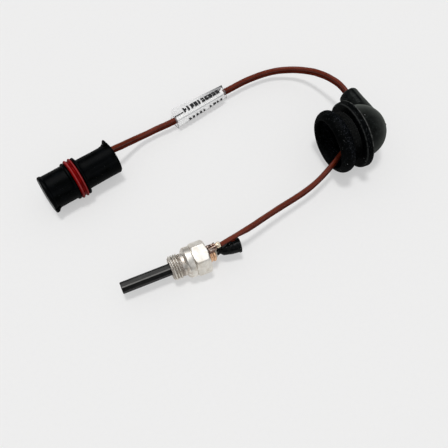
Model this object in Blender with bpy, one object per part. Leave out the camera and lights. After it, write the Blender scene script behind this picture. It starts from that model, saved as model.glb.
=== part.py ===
"""Flame sensor probe for a vehicle air heater: a screw-in ceramic pin on a two-wire lead, with an
elbow grommet, a marker sleeve and a round two-way connector.

The scene is in metres: +X runs along the plug from the pin's tip to the rear of the hexagon,
+Z is up, and the object lies on z = 0. Dimensions are in millimetres in the plug's frame, where
x = 0 is the hexagon's rear face and y = 0 is the plug's axis; finish() shifts and scales them.
"front" is the low end of a piece's own X axis and "rear" is the high end.
"""

import math

import bmesh
import bpy
from mathutils import Matrix, Vector

MILLIMETRE = 0.001

# Stands the whole object centred on the scene's origin
SCENE_SHIFT = Vector((-19.3, -34.4, 0.0))

SHARP_DEG = 35.0
MERGE_DISTANCE = 1e-4
BOX_CORNER_STEPS = 4

# Plug: M10 x 1 thread, 12 mm across flats, turned a little off its flat by the stiff lead
HEX_AF, HEX_LENGTH, HEX_ROLL_DEG = 12.0, 5.8, 9.9
HEX_CORNER_R = HEX_AF / 2 / math.cos(math.radians(30))
PLUG_Z = HEX_CORNER_R * math.cos(math.radians(30 - HEX_ROLL_DEG))
PLUG_ORIGIN = Vector((0.0, 0.0, PLUG_Z))
COLLAR_R, COLLAR_LENGTH = 6.15, 3.55
NECK_R, NECK_LENGTH = 4.45, 1.6
THREAD_R, THREAD_ROOT_R, THREAD_PITCH, THREAD_TURNS = 5.0, 4.4, 1.0, 4
SPIGOT_R, SPIGOT_LENGTH = 2.7, 3.1
PLUG_BORE_R, SPIGOT_BORE_R = 2.65, 1.7

# Front ends of the plug's lengths, from the hexagon towards the tip
HEX_FRONT = -HEX_LENGTH
COLLAR_FRONT = HEX_FRONT - COLLAR_LENGTH
NECK_FRONT = COLLAR_FRONT - NECK_LENGTH
THREAD_FRONT = NECK_FRONT - THREAD_TURNS * THREAD_PITCH
PLUG_FRONT = THREAD_FRONT - 0.12

# Lead: two round wires, one above the other
WIRE_R, CORE_R, WIRE_STEP = 0.9, 0.5, 0.95
WIRES = (  # (name, side of the lead's middle: 1 above, -1 below, look)
    ("earth", 1, "wire"),
    ("live", -1, "wire_b"),
)
LEAD_START, LEAD_HEADING = (5.6, -0.25), 14.2
LEAD_RUNS = (  # straights and bends on the flat plan: (length, turn in degrees)
    (40.0, 0.0),  # straight away from the plug
    (12.0, 9.9),  # eases towards the grommet
    (22.0, 0.0),  # into the mouth
    (17.0, 71.3),  # turns through the elbow
    (7.2, 0.0),  # up the tube to its end
    (18.7, 12.1),  # leaves the tube
    (11.5, 45.2),  # tight part of the loop
    (28.6, 40.3),  # wide part of the loop
    (45.4, 0.0),  # straight through the marker
    (19.7, 10.3),  # up to the connector
)
LEAD_LENGTH = sum(length for length, _ in LEAD_RUNS)
LEAD_HEIGHTS = (  # (distance along the lead, height of its middle)
    (0.0, 11.55), (12.0, 9.9), (24.0, 8.7), (40.0, 7.6), (50.0, 7.8),
    (61.0, 9.2), (74.0, 11.6), (90.0, 14.25), (98.2, 14.25), (109.5, 12.2),
    (128.4, 6.0), (143.4, 4.5), (157.0, 4.5), (202.0, 4.5), (221.9, 11.25),
)
FLEX_AT = (14.0, 47.0, 102.5, 135.0, 211.0)  # where the lead bends as joints, along it
FLEX_GAP = 1.2
LEAD_SECTIONS = ("lower", "elbow", "loop", "marker_run")  # the lengths between those joints
BUNDLE_FROM = 12.0  # the wires lie one on the other from here on
STATION_LENGTH, STATION_DEG = 9.0, 9.0  # roughly how far apart a wire's rings stand
STATION_MARGIN = 0.8  # no ring stands nearer than this to an end one
SLOPE_REACH = 0.1  # the lead's slope is taken this far to either side


# Scene and materials


def clear_scene():
    for obj in list(bpy.data.objects):
        bpy.data.objects.remove(obj, do_unlink=True)


def make_material(name, colour, roughness, metallic=0.0, alpha=1.0):
    material = bpy.data.materials.new(name)
    material.use_nodes = True
    shader = material.node_tree.nodes["Principled BSDF"]
    shader.inputs["Base Color"].default_value = (*colour, 1.0)
    shader.inputs["Roughness"].default_value = roughness
    shader.inputs["Metallic"].default_value = metallic
    shader.inputs["Alpha"].default_value = alpha
    material.diffuse_color = (*colour, alpha)
    return material


def metal(name, colour, roughness):
    return make_material(name, colour, roughness, metallic=1.0)


def metal_looks():
    return {
        "steel": metal("nickel_plated_steel", colour=(0.72, 0.71, 0.68), roughness=0.32),
        "braze": metal("braze_ring", colour=(0.55, 0.5, 0.42), roughness=0.4),
        "nickel": metal("bright_nickel", colour=(0.78, 0.75, 0.7), roughness=0.22),
        "copper": metal("copper_alloy", colour=(0.72, 0.5, 0.34), roughness=0.35),
        "core": metal("copper_strands", colour=(0.7, 0.4, 0.25), roughness=0.35),
        "tin": metal("tinned_brass", colour=(0.7, 0.68, 0.62), roughness=0.3),
    }


def ceramic_and_paper_looks():
    return {
        "rod": make_material("dark_ceramic", colour=(0.035, 0.035, 0.037), roughness=0.5),
        "bush": make_material("pale_insulator", colour=(0.75, 0.72, 0.64), roughness=0.5),
        "strip": make_material("paper_strip", colour=(0.86, 0.86, 0.85), roughness=0.7),
    }


def rubber_looks():
    return {
        "boot": make_material("boot_rubber", colour=(0.012, 0.014, 0.014), roughness=0.45),
        "grommet": make_material("grommet_rubber", colour=(0.014, 0.015, 0.015), roughness=0.62),
        "seal": make_material("red_silicone", colour=(0.38, 0.012, 0.01), roughness=0.42),
        "bung": make_material("bung_rubber", colour=(0.02, 0.02, 0.02), roughness=0.6),
    }


def plastic_looks():
    return {
        "wire": make_material("brown_insulation", colour=(0.16, 0.035, 0.02), roughness=0.38),
        "wire_b": make_material(
            "dark_brown_insulation", colour=(0.14, 0.03, 0.018), roughness=0.38
        ),
        "sleeve": make_material(
            "clear_sleeve", colour=(0.86, 0.87, 0.88), roughness=0.2, alpha=0.4
        ),
        "housing": make_material("black_nylon", colour=(0.012, 0.013, 0.014), roughness=0.4),
        "carrier": make_material("carrier_plastic", colour=(0.02, 0.02, 0.022), roughness=0.5),
    }


# Objects and modifiers


def finish(name, solid, look=None, origin=PLUG_ORIGIN, smooth=True):
    """Turns a bmesh in the plug's frame into an object whose origin stands at the given point."""
    bmesh.ops.remove_doubles(solid, verts=solid.verts, dist=MERGE_DISTANCE)
    bmesh.ops.recalc_face_normals(solid, faces=solid.faces)
    for vert in solid.verts:
        vert.co = (vert.co - origin) * MILLIMETRE
    for face in solid.faces:
        face.smooth = smooth
    mesh = bpy.data.meshes.new(name)
    solid.to_mesh(mesh)
    solid.free()
    if smooth:
        mesh.set_sharp_from_angle(angle=math.radians(SHARP_DEG))
    obj = bpy.data.objects.new(name, mesh)
    obj.location = (origin + SCENE_SHIFT) * MILLIMETRE
    bpy.context.scene.collection.objects.link(obj)
    if look is not None:
        mesh.materials.append(look)
    return obj


def boolean(target, other, operation, label):
    """Joins or cuts the target with the other object, which becomes a hidden helper."""
    other.hide_render = True
    other.display_type = "WIRE"
    modifier = target.modifiers.new(label, "BOOLEAN")
    modifier.operation = operation
    modifier.solver = "EXACT"
    modifier.object = other


# Directions and frames


def direction(heading_deg):
    """Level unit vector, turned from +X towards +Y."""
    heading = math.radians(heading_deg)
    return Vector((math.cos(heading), math.sin(heading), 0.0))


def frame_of(point, heading_deg, pitch_deg=0.0):
    """Matrix whose local X points along the heading; its local Z stays as near up as it can."""
    return (
        Matrix.Translation(Vector(point))
        @ Matrix.Rotation(math.radians(heading_deg), 4, "Z")
        @ Matrix.Rotation(math.radians(-pitch_deg), 4, "Y")
    )


# Outlines and solids


def circle(radius, count, start_deg=0.0):
    angles = [math.radians(start_deg) + 2 * math.pi * i / count for i in range(count)]
    return [(radius * math.cos(angle), radius * math.sin(angle)) for angle in angles]


def rounded_box(width, height, radius):
    points = []
    for side_y, side_z, start in ((1, 1, 0), (-1, 1, 90), (-1, -1, 180), (1, -1, 270)):
        for k in range(BOX_CORNER_STEPS + 1):
            angle = math.radians(start + 90 * k / BOX_CORNER_STEPS)
            y = side_y * (width / 2 - radius) + radius * math.cos(angle)
            z = side_z * (height / 2 - radius) + radius * math.sin(angle)
            points.append((y, z))
    return points


def turned(profile, segments, place):
    """Solid of revolution about local X from (along, radius) pairs.

    A profile that starts on the axis also ends on it; any other is closed into a ring.
    """
    solid = bmesh.new()
    verts = [solid.verts.new((x, 0.0, radius)) for x, radius in profile]
    pairs = list(zip(verts, verts[1:]))
    if profile[0][1] > 0.0:
        pairs.append((verts[-1], verts[0]))
    edges = [solid.edges.new(pair) for pair in pairs]
    bmesh.ops.spin(
        solid,
        geom=verts + edges,
        cent=(0.0, 0.0, 0.0),
        axis=(1.0, 0.0, 0.0),
        angle=2.0 * math.pi,
        steps=segments,
        use_merge=True,
        use_duplicate=False,
    )
    # The copies of a point on the axis become one
    bmesh.ops.remove_doubles(solid, verts=solid.verts, dist=MERGE_DISTANCE)
    bmesh.ops.transform(solid, matrix=place, verts=solid.verts)
    return solid


def turned_piece(name, profile, segments, place, look=None, origin=PLUG_ORIGIN):
    return finish(name, turned(profile, segments, place), look, origin)


def skin(solid, rows):
    """Quads between each closed row of vertices and the next."""
    for row, following in zip(rows, rows[1:]):
        for i in range(len(row)):
            j = (i + 1) % len(row)
            solid.faces.new((row[i], row[j], following[j], following[i]))


def swept(rings):
    """Skin over a list of equal rings of points, closed at both ends."""
    solid = bmesh.new()
    rows = [[solid.verts.new(point) for point in ring] for ring in rings]
    skin(solid, rows)
    solid.faces.new(rows[0][::-1])
    solid.faces.new(rows[-1])
    return solid


def prism(outline, front, rear, place):
    """Outline of (y, z) points, extruded along local X."""
    return swept([[place @ Vector((x, y, z)) for y, z in outline] for x in (front, rear)])


def tube_along(points, radius, count=10):
    """Round bar along the points, with its ends square to the path."""
    rings = []
    for i, point in enumerate(points):
        ahead = points[min(i + 1, len(points) - 1)] - points[max(i - 1, 0)]
        ahead.normalize()
        side = Vector((0.0, 0.0, 1.0)).cross(ahead)
        side.normalize()
        up = ahead.cross(side)
        rings.append([point + side * y + up * z for y, z in circle(radius, count, 180 / count)])
    return swept(rings)


def hermite(start, start_pull, end, end_pull, share):
    """Value at this share of a cubic between two numbers or points with the given tangents."""
    square, cube = share**2, share**3
    return (
        start * (2 * cube - 3 * square + 1)
        + start_pull * (cube - 2 * square + share)
        + end * (-2 * cube + 3 * square)
        + end_pull * (cube - square)
    )


def curve(start, start_pull, end, end_pull, steps):
    return [hermite(start, start_pull, end, end_pull, k / steps) for k in range(steps + 1)]


# The lead's route


def lead_plan(distance):
    """x, y and heading in degrees on the flat plan at this distance along the lead."""
    x, y = LEAD_START
    heading = math.radians(LEAD_HEADING)
    left = distance
    for length, turn in LEAD_RUNS:
        step = min(left, length)
        if step <= 0:
            break
        if turn:
            radius = length / math.radians(turn)
            bend = step / radius
            x += radius * (math.sin(heading + bend) - math.sin(heading))
            y -= radius * (math.cos(heading + bend) - math.cos(heading))
            heading += bend
        else:
            x += step * math.cos(heading)
            y += step * math.sin(heading)
        left -= step
    return x, y, math.degrees(heading)


def height_slopes():
    """Slope at each of LEAD_HEIGHTS: level at a turning point, else the rises' harmonic mean."""
    rises = [
        (height_b - height_a) / (at_b - at_a)
        for (at_a, height_a), (at_b, height_b) in zip(LEAD_HEIGHTS, LEAD_HEIGHTS[1:])
    ]
    slopes = [rises[0]]
    for before, after in zip(rises, rises[1:]):
        level = before * after <= 0.0
        slopes.append(0.0 if level else 2.0 * before * after / (before + after))
    return slopes + [rises[-1]]


def lead_height(distance):
    """Height of the lead's middle: a smooth curve through LEAD_HEIGHTS, level beyond its ends."""
    distance = min(max(distance, LEAD_HEIGHTS[0][0]), LEAD_HEIGHTS[-1][0])
    slopes = height_slopes()
    i = 0
    while distance > LEAD_HEIGHTS[i + 1][0]:
        i += 1
    start, start_height = LEAD_HEIGHTS[i]
    end, end_height = LEAD_HEIGHTS[i + 1]
    span = end - start
    return hermite(
        start_height, slopes[i] * span, end_height, slopes[i + 1] * span, (distance - start) / span
    )


def lead_point(distance, lift=0.0):
    """A point of the lead, its lift lengthened by the slope to keep the wires' spacing."""
    x, y, _ = lead_plan(distance)
    rise = lead_height(distance + SLOPE_REACH) - lead_height(distance - SLOPE_REACH)
    slope = rise / (2 * SLOPE_REACH)
    return Vector((x, y, lead_height(distance) + lift * math.hypot(1.0, slope)))


def stations(start, end):
    """Distances from start to end: close together on a bend, further apart on a straight."""
    found, run_start = [start], 0.0
    for length, turn in LEAD_RUNS:
        pieces = max(1, round(turn / STATION_DEG), round(length / STATION_LENGTH))
        for k in range(pieces):
            distance = run_start + length * (k + 1) / pieces
            if start + STATION_MARGIN < distance < end - STATION_MARGIN:
                found.append(distance)
        run_start += length
    return found + [end]


def bundle_share(distance):
    """How far the upper wire has risen from the lead's middle, from 0 to 1."""
    share = min(distance / BUNDLE_FROM, 1.0)
    return share * share * (3 - 2 * share)


def lead_points(start, end, lift):
    """Points of one wire; only the upper one eases away from the middle near the plug."""
    return [
        lead_point(distance, lift * (bundle_share(distance) if lift > 0 else 1.0))
        for distance in stations(start, end)
    ]


# Plug body: hexagon, collar, neck, thread and rear spigot

PLUG_FRAME = frame_of(PLUG_ORIGIN, 0.0)
HEX_OVERLAP = 0.4  # how far the hexagon's bar runs into the collar

THREAD_SEGMENTS = 26
THREAD_SINK = 0.02  # lowers the crest and sets the helix forward
THREAD_CAP_R = THREAD_ROOT_R - 0.1
THREAD_OVERLAP = 0.25  # how far the thread runs into the neck
THREAD_SECTION = (  # one pitch: (distance along in pitches, radius)
    (0.0, THREAD_ROOT_R),
    (0.4, THREAD_R - THREAD_SINK),
    (0.55, THREAD_R - THREAD_SINK),
    (0.95, THREAD_ROOT_R),
)


def hexagon():
    """Helper: hexagonal bar with its corners chamfered at both ends."""
    bar = prism(
        circle(HEX_CORNER_R, 6, HEX_ROLL_DEG), HEX_FRONT - HEX_OVERLAP, 0.0, PLUG_FRAME
    )
    flats = finish("cut_hexagon", bar, smooth=False)
    profile = (
        (HEX_FRONT - 0.6, 0.0), (HEX_FRONT - 0.6, 5.9), (HEX_FRONT, 6.05),
        (HEX_FRONT + 0.75, HEX_CORNER_R + 0.1), (-0.7, HEX_CORNER_R + 0.1),
        (0.0, 6.02), (0.3, 5.6), (0.3, 0.0),
    )
    envelope = turned_piece("cut_hexagon_chamfer", profile, 48, PLUG_FRAME)
    boolean(flats, envelope, "INTERSECT", "chamfered_corners")
    return flats


def thread_mesh():
    """Closed helical thread: rows of points wind along the helix, four rows to a pitch."""
    solid = bmesh.new()
    pitch_rows = len(THREAD_SECTION)
    top = pitch_rows * (THREAD_TURNS - 1)

    def vert_at(x, radius, step):
        angle = 2 * math.pi * step / THREAD_SEGMENTS
        point = Vector((x, radius * math.cos(angle), radius * math.sin(angle)))
        return solid.verts.new(PLUG_FRAME @ point)

    # Above the top row only the first point of each row is needed, to end the helix on
    grid = []
    for row in range(top + pitch_rows + 1):
        along, radius = THREAD_SECTION[row % pitch_rows]
        verts = []
        for step in range(THREAD_SEGMENTS if row <= top else 1):
            pitches = row // pitch_rows + along - THREAD_SINK + step / THREAD_SEGMENTS
            verts.append(vert_at(THREAD_FRONT + THREAD_PITCH * pitches, radius, step))
        grid.append(verts)
    steps = range(THREAD_SEGMENTS)
    front = [vert_at(PLUG_FRONT, THREAD_CAP_R, step) for step in steps]
    rear = [vert_at(NECK_FRONT + THREAD_OVERLAP, THREAD_CAP_R, step) for step in steps]

    for row in range(top):
        lower, upper = grid[row], grid[row + 1]
        for i in range(THREAD_SEGMENTS - 1):
            solid.faces.new((lower[i], lower[i + 1], upper[i + 1], upper[i]))
        # A row's end meets the start of the row one pitch on
        next_lower, next_upper = grid[row + pitch_rows][0], grid[row + pitch_rows + 1][0]
        solid.faces.new((lower[-1], next_lower, next_upper, upper[-1]))
    bottom_row, top_row = grid[0], grid[top]
    for i in range(THREAD_SEGMENTS - 1):
        solid.faces.new((front[i], front[i + 1], bottom_row[i + 1], bottom_row[i]))
        solid.faces.new((top_row[i], top_row[i + 1], rear[i + 1], rear[i]))

    # The step where the thread begins, and the one where it ends
    first_step = [grid[row][0] for row in range(pitch_rows + 1)]
    last_step = [grid[row][0] for row in range(top + pitch_rows, top - 1, -1)]
    solid.faces.new((front[-1], front[0], *first_step, bottom_row[-1]))
    solid.faces.new((top_row[-1], last_step[0], rear[0], rear[-1]))
    solid.faces.new((rear[0], *last_step))
    solid.faces.new(front[::-1])
    solid.faces.new(rear)
    bmesh.ops.triangulate(solid, faces=solid.faces)
    return solid


def plug_bore():
    """Helper: wide bore from the front, narrow through the spigot."""
    profile = (
        (THREAD_FRONT - 2.0, 0.0),
        (THREAD_FRONT - 2.0, PLUG_BORE_R + 0.35),
        (THREAD_FRONT - 0.3, PLUG_BORE_R + 0.35),
        (THREAD_FRONT + 0.35, PLUG_BORE_R),
        (HEX_FRONT + 1.0, PLUG_BORE_R),
        (HEX_FRONT + 1.6, SPIGOT_BORE_R),
        (SPIGOT_LENGTH + 1.0, SPIGOT_BORE_R),
        (SPIGOT_LENGTH + 1.0, 0.0),
    )
    return turned_piece("cut_plug_bore", profile, 28, PLUG_FRAME)


def plug_body(looks):
    core_r = 5.4  # the turned part inside the hexagon
    profile = (
        (NECK_FRONT - 0.5, 0.0), (NECK_FRONT - 0.5, NECK_R - 0.25),
        (NECK_FRONT, NECK_R - 0.25), (NECK_FRONT + 0.15, NECK_R),
        (COLLAR_FRONT, NECK_R), (COLLAR_FRONT, COLLAR_R - 0.9),
        (COLLAR_FRONT + 0.9, COLLAR_R), (HEX_FRONT - 0.35, COLLAR_R),
        (HEX_FRONT, COLLAR_R - 0.3), (HEX_FRONT, core_r),
        (-0.25, core_r), (-0.25, SPIGOT_R),
        (SPIGOT_LENGTH - 0.2, SPIGOT_R), (SPIGOT_LENGTH, SPIGOT_R - 0.2),
        (SPIGOT_LENGTH, 0.0),
    )
    body = turned_piece("plug_body", profile, 32, PLUG_FRAME, looks["steel"])
    boolean(body, hexagon(), "UNION", "hexagon")
    boolean(body, finish("cut_thread", thread_mesh(), smooth=False), "UNION", "thread")
    boolean(body, plug_bore(), "DIFFERENCE", "bore")


# Ceramic pin, its seal, and the centre terminal

ROD_AF, ROD_OUT, ROD_IN, ROD_TURN_DEG = 4.4, 19.8, 7.0, 19.6
ROD_CORNER_R = ROD_AF / 2 / math.cos(math.radians(22.5))
ROD_TIP, ROD_TIP_BREAK, ROD_TIP_SCALE = PLUG_FRONT - ROD_OUT, 0.25, 0.9
TERMINAL_R, TERMINAL_FRONT, TERMINAL_REAR = 0.75, -3.6, 7.4
BUSH_R, BUSH_FRONT = 1.6, -2.6


def ceramic_rod(looks):
    """Eight-sided bar with its tip edges broken."""
    rings = []
    for x, scale in (
        (ROD_TIP, ROD_TIP_SCALE),
        (ROD_TIP + ROD_TIP_BREAK, 1.0),
        (PLUG_FRONT + ROD_IN, 1.0),
    ):
        outline = circle(ROD_CORNER_R * scale, 8, ROD_TURN_DEG)
        rings.append([PLUG_FRAME @ Vector((x, y, z)) for y, z in outline])
    finish("ceramic_rod", swept(rings), looks["rod"], smooth=False)


def rod_seal(looks):
    """Brazed ring that seals the bar inside the mouth of the bore."""
    outer, inner = PLUG_BORE_R - 0.06, ROD_CORNER_R + 0.05
    front, rear = PLUG_FRONT + 0.7, PLUG_FRONT + 3.2
    profile = ((front, outer), (front, inner), (rear, inner), (rear, outer))
    turned_piece("rod_seal", profile, 24, PLUG_FRAME, looks["braze"])


def terminal_bush(looks):
    profile = (
        (BUSH_FRONT, TERMINAL_R + 0.1), (BUSH_FRONT, BUSH_R), (SPIGOT_LENGTH + 0.05, BUSH_R),
        (SPIGOT_LENGTH + 0.05, 2.3), (SPIGOT_LENGTH + 0.5, 2.2), (SPIGOT_LENGTH + 0.7, 1.3),
        (SPIGOT_LENGTH + 0.7, TERMINAL_R + 0.1),
    )
    turned_piece("terminal_bush", profile, 24, PLUG_FRAME, looks["bush"])


def centre_terminal(looks):
    profile = (
        (TERMINAL_FRONT, 0.0), (TERMINAL_FRONT, TERMINAL_R), (TERMINAL_REAR - 0.2, TERMINAL_R),
        (TERMINAL_REAR, TERMINAL_R - 0.2), (TERMINAL_REAR, 0.0),
    )
    turned_piece("centre_terminal", profile, 14, PLUG_FRAME, looks["nickel"])


# Earth band and its crimp on the rear spigot

BAND_R, BAND_FRONT, BAND_REAR = 3.25, 0.35, 2.95
CRIMP_FRONT, CRIMP_REAR = 0.35, 3.55
CRIMP_WIDTH, CRIMP_HEIGHT, CRIMP_CORNER_R = 3.1, 2.6, 0.9
GRIP_REAR, GRIP_R = 5.45, 1.2
STRAND_WAY_R, WIRE_WAY_R = 0.75, 0.98  # the crimp's hollow, front and rear
EARTH_CORE_R = 0.6
FOLD_SIDE, FOLD_HALF, FOLD_DEPTH, FOLD_FLARE = 0.62, 0.16, 0.32, 0.15
FOLD_RISE, FOLD_END = 0.4, 0.45  # above the barrel's top, and in from its ends
CRIMP_HEADING_DEG = 4.0
CRIMP_FRAME = frame_of((0.0, LEAD_START[1], PLUG_Z + 5.0), CRIMP_HEADING_DEG)


def earth_band(looks):
    """Band with two rolled beads."""
    bore_r = SPIGOT_R + 0.05
    profile = (
        (BAND_FRONT, bore_r), (BAND_FRONT, BAND_R - 0.1),
        (BAND_FRONT + 0.35, BAND_R + 0.1), (BAND_FRONT + 0.75, BAND_R),
        (BAND_FRONT + 1.05, BAND_R - 0.22), (BAND_FRONT + 1.4, BAND_R - 0.22),
        (BAND_FRONT + 1.75, BAND_R + 0.12), (BAND_FRONT + 2.2, BAND_R + 0.05),
        (BAND_REAR, BAND_R - 0.12), (BAND_REAR, bore_r),
    )
    turned_piece("earth_band", profile, 32, PLUG_FRAME, looks["copper"])


def crimp_grip():
    """Helper: round grip behind the barrel."""
    profile = (
        (CRIMP_REAR - 0.6, 0.0), (CRIMP_REAR - 0.6, GRIP_R - 0.25),
        (CRIMP_REAR + 0.35, GRIP_R - 0.1), (CRIMP_REAR + 0.7, GRIP_R),
        (GRIP_REAR - 0.15, GRIP_R), (GRIP_REAR, GRIP_R - 0.15), (GRIP_REAR, 0.0),
    )
    return turned_piece("cut_grip", profile, 20, CRIMP_FRAME)


def crimp_hollow():
    """Helper: stepped way through barrel and grip."""
    profile = (
        (-1.0, 0.0), (-1.0, STRAND_WAY_R), (CRIMP_REAR + 0.4, STRAND_WAY_R),
        (CRIMP_REAR + 0.6, WIRE_WAY_R), (8.0, WIRE_WAY_R), (8.0, 0.0),
    )
    return turned_piece("cut_crimp_hollow", profile, 16, CRIMP_FRAME)


def crimp_fold(label, side):
    """Helper: groove along the barrel's top, wider upwards."""
    middle, top = side * FOLD_SIDE, CRIMP_HEIGHT / 2
    outline = (
        (middle - FOLD_HALF, top - FOLD_DEPTH),
        (middle + FOLD_HALF, top - FOLD_DEPTH),
        (middle + FOLD_HALF + FOLD_FLARE, top + FOLD_RISE),
        (middle - FOLD_HALF - FOLD_FLARE, top + FOLD_RISE),
    )
    groove = prism(outline, CRIMP_FRONT + FOLD_END, CRIMP_REAR - FOLD_END, CRIMP_FRAME)
    return finish(f"cut_crimp_{label}", groove, smooth=False)


def earth_crimp(looks):
    """Crimp that rides on the band, with the earth wire's strands inside it."""
    outline = rounded_box(CRIMP_WIDTH, CRIMP_HEIGHT, CRIMP_CORNER_R)
    barrel = finish(
        "earth_crimp", prism(outline, CRIMP_FRONT, CRIMP_REAR, CRIMP_FRAME), looks["nickel"]
    )
    boolean(barrel, crimp_grip(), "UNION", "grip")
    boolean(barrel, crimp_hollow(), "DIFFERENCE", "wire_way")
    for label, side in (("fold_a", -1), ("fold_b", 1)):
        boolean(barrel, crimp_fold(label, side), "DIFFERENCE", label)
    front, rear = CRIMP_FRONT + 0.3, GRIP_REAR - 0.05
    profile = ((front, 0.0), (front, EARTH_CORE_R), (rear, EARTH_CORE_R), (rear, 0.0))
    turned_piece("core_earth_front", profile, 10, CRIMP_FRAME, looks["core"])


# Splice boot behind the plug, and the wires' first lengths

BOOT_START = Vector((3.9, 0.0, PLUG_Z))
BOOT_END = Vector((13.65, -0.9, PLUG_Z - 0.35))
BOOT_AXIS = BOOT_END - BOOT_START
BOOT_LENGTH = BOOT_AXIS.length
BOOT_FRAME = frame_of(
    BOOT_START,
    heading_deg=math.degrees(math.atan2(BOOT_AXIS.y, BOOT_AXIS.x)),
    pitch_deg=math.degrees(math.atan2(BOOT_AXIS.z, math.hypot(BOOT_AXIS.x, BOOT_AXIS.y))),
)
SLIT_CLEARANCE = 0.2

# The live wire's way out of the boot, in the boot's frame
LIVE_START, LIVE_BEND = (5.1, 0.0, 0.0), (5.5, 0.0, 0.0)
LIVE_EXIT = (BOOT_LENGTH - 1.6, 2.75, 2.35)
# How hard its curve is pulled: at the bend, on either side of the exit, and where it joins
LIVE_BEND_PULL, LIVE_JOIN_PULL = 3.0, 5.4
LIVE_INTO_EXIT, LIVE_OUT_OF_EXIT = Vector((3.6, 1.6, 1.2)), Vector((5.2, 1.6, 0.9))


def splice_boot(looks):
    """Narrow beaded neck round the terminal, widening to a closed rimmed end."""
    rear, end_wall = BOOT_LENGTH, BOOT_LENGTH - 0.9
    profile = (
        # outside, from the rear to the neck
        (rear, 0.0), (rear, 2.7), (rear - 0.2, 3.0), (rear - 0.85, 3.02), (rear - 1.2, 2.72),
        (3.9, 2.5), (2.3, 2.05), (1.5, 1.4), (1.0, 1.35), (0.8, 1.6), (0.35, 1.7), (0.0, 1.5),
        # inside, back to the end wall
        (0.0, 1.15), (1.6, 1.15), (2.4, 1.7), (3.6, 2.1), (end_wall, 2.3), (end_wall, 0.0),
    )
    return turned_piece("splice_boot", profile, 26, BOOT_FRAME, looks["boot"])


def splice_ferrule(looks):
    """Ferrule inside the boot, and the live wire's strands in it."""
    profile = (
        (2.5, 1.28), (2.5, 1.62), (3.1, 1.56), (3.7, 1.5), (4.1, 1.22),
        (4.7, 1.28), (4.7, 0.88), (3.8, 0.88), (3.62, 1.28),
    )
    turned_piece("splice_ferrule", profile, 16, BOOT_FRAME, looks["tin"])
    strands = ((3.6, 0.0), (3.6, CORE_R), (5.0, CORE_R), (5.0, 0.0))
    turned_piece("core_live_front", strands, 10, BOOT_FRAME, looks["core"])


def probe_wires(boot, looks):
    """One wire from the crimp; the other out of a slit in the boot, high on its +Y side."""
    end = FLEX_AT[0] - FLEX_GAP / 2
    earth = lead_points(0.0, end, WIRE_STEP)
    finish("wire_earth_probe", tube_along(earth, WIRE_R), looks["wire"])

    start = BOOT_FRAME @ Vector(LIVE_START)
    bend = BOOT_FRAME @ Vector(LIVE_BEND)
    leaving = BOOT_FRAME @ Vector(LIVE_EXIT)
    boot_ahead = BOOT_FRAME.to_3x3() @ Vector((1.0, 0.0, 0.0))
    join = lead_point(end, -WIRE_STEP)
    join_ahead = join - lead_point(end - 1.0, -WIRE_STEP)
    join_ahead.normalize()
    inside = curve(bend, boot_ahead * LIVE_BEND_PULL, leaving, LIVE_INTO_EXIT, 4)
    outside = curve(leaving, LIVE_OUT_OF_EXIT, join, join_ahead * LIVE_JOIN_PULL, 3)
    path = inside + outside[1:]
    finish("wire_live_probe", tube_along([start] + path, WIRE_R), looks["wire_b"])
    slit = finish("cut_boot_slit", tube_along(path, WIRE_R + SLIT_CLEARANCE, 14))
    boolean(boot, slit, "DIFFERENCE", "slit")


def lead_wires(looks):
    """Both wires between the flex joints, each length with its origin at its first joint."""
    for label, joint, next_joint in zip(LEAD_SECTIONS, FLEX_AT, FLEX_AT[1:]):
        start, end = joint + FLEX_GAP / 2, next_joint - FLEX_GAP / 2
        for word, side, look in WIRES:
            wire = tube_along(lead_points(start, end, side * WIRE_STEP), WIRE_R)
            finish(f"wire_{word}_{label}", wire, looks[look], lead_point(joint))


# Elbow grommet: a bell with a domed rear, and a tube out of its side

TUBE_END_AT = sum(length for length, _ in LEAD_RUNS[:5])
TUBE_R, TUBE_BORE_R, TUBE_REACH, TUBE_BACK, ELBOW_DEG = 4.35, 3.1, 19.5, 18.5, 92.4
LIP_R, NECK_GROOVE_R, FLANGE_R = 13.35, 10.6, 14.25
DOME_R, DOME_WALL, DOME_BACK = 11.0, 2.4, 11.8
RIDGES, RIDGE_HALF_HEIGHT = 4, 0.15
GROOVE_FRONT, GROOVE_REAR = 3.0, 6.6

TUBE_END = lead_point(TUBE_END_AT)
TUBE_HEADING = lead_plan(TUBE_END_AT)[2]
BELL_HEADING = TUBE_HEADING - ELBOW_DEG
ELBOW = TUBE_END - direction(TUBE_HEADING) * TUBE_REACH
TUBE_FRAME = frame_of(ELBOW, TUBE_HEADING)
BELL_FRAME = frame_of(ELBOW - direction(BELL_HEADING) * TUBE_BACK, BELL_HEADING)

BELL_LIP = (  # (along, radius), from the axis at the mouth to the groove
    (-3.3, 0.0), (-3.3, 7.0), (-3.45, 10.3), (-3.2, 11.0), (-2.6, 11.9), (-1.7, 12.7),
    (-0.6, 13.2), (0.6, LIP_R), (1.6, 13.05), (2.3, 12.3), (2.7, 11.2),
)
BELL_FLANGE = (  # (along, radius), from the groove to the dome
    (GROOVE_REAR - 0.12, NECK_GROOVE_R - 0.1), (GROOVE_REAR, NECK_GROOVE_R + 0.25),
    (GROOVE_REAR, FLANGE_R - 0.6), (GROOVE_REAR + 0.3, FLANGE_R - 0.15),
    (GROOVE_REAR + 0.7, FLANGE_R - 0.02), (8.0, FLANGE_R), (9.3, FLANGE_R - 0.02),
    (9.75, FLANGE_R - 0.4), (9.95, 11.6),
)
BELL_INSIDE = (  # (along, radius), from ahead of the mouth to the dome
    (-5.0, 0.0), (-5.0, 11.2), (-3.45, 10.25), (-2.8, 9.8), (0.5, 9.1), (3.0, 8.7), (8.0, 8.4),
)


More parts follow.
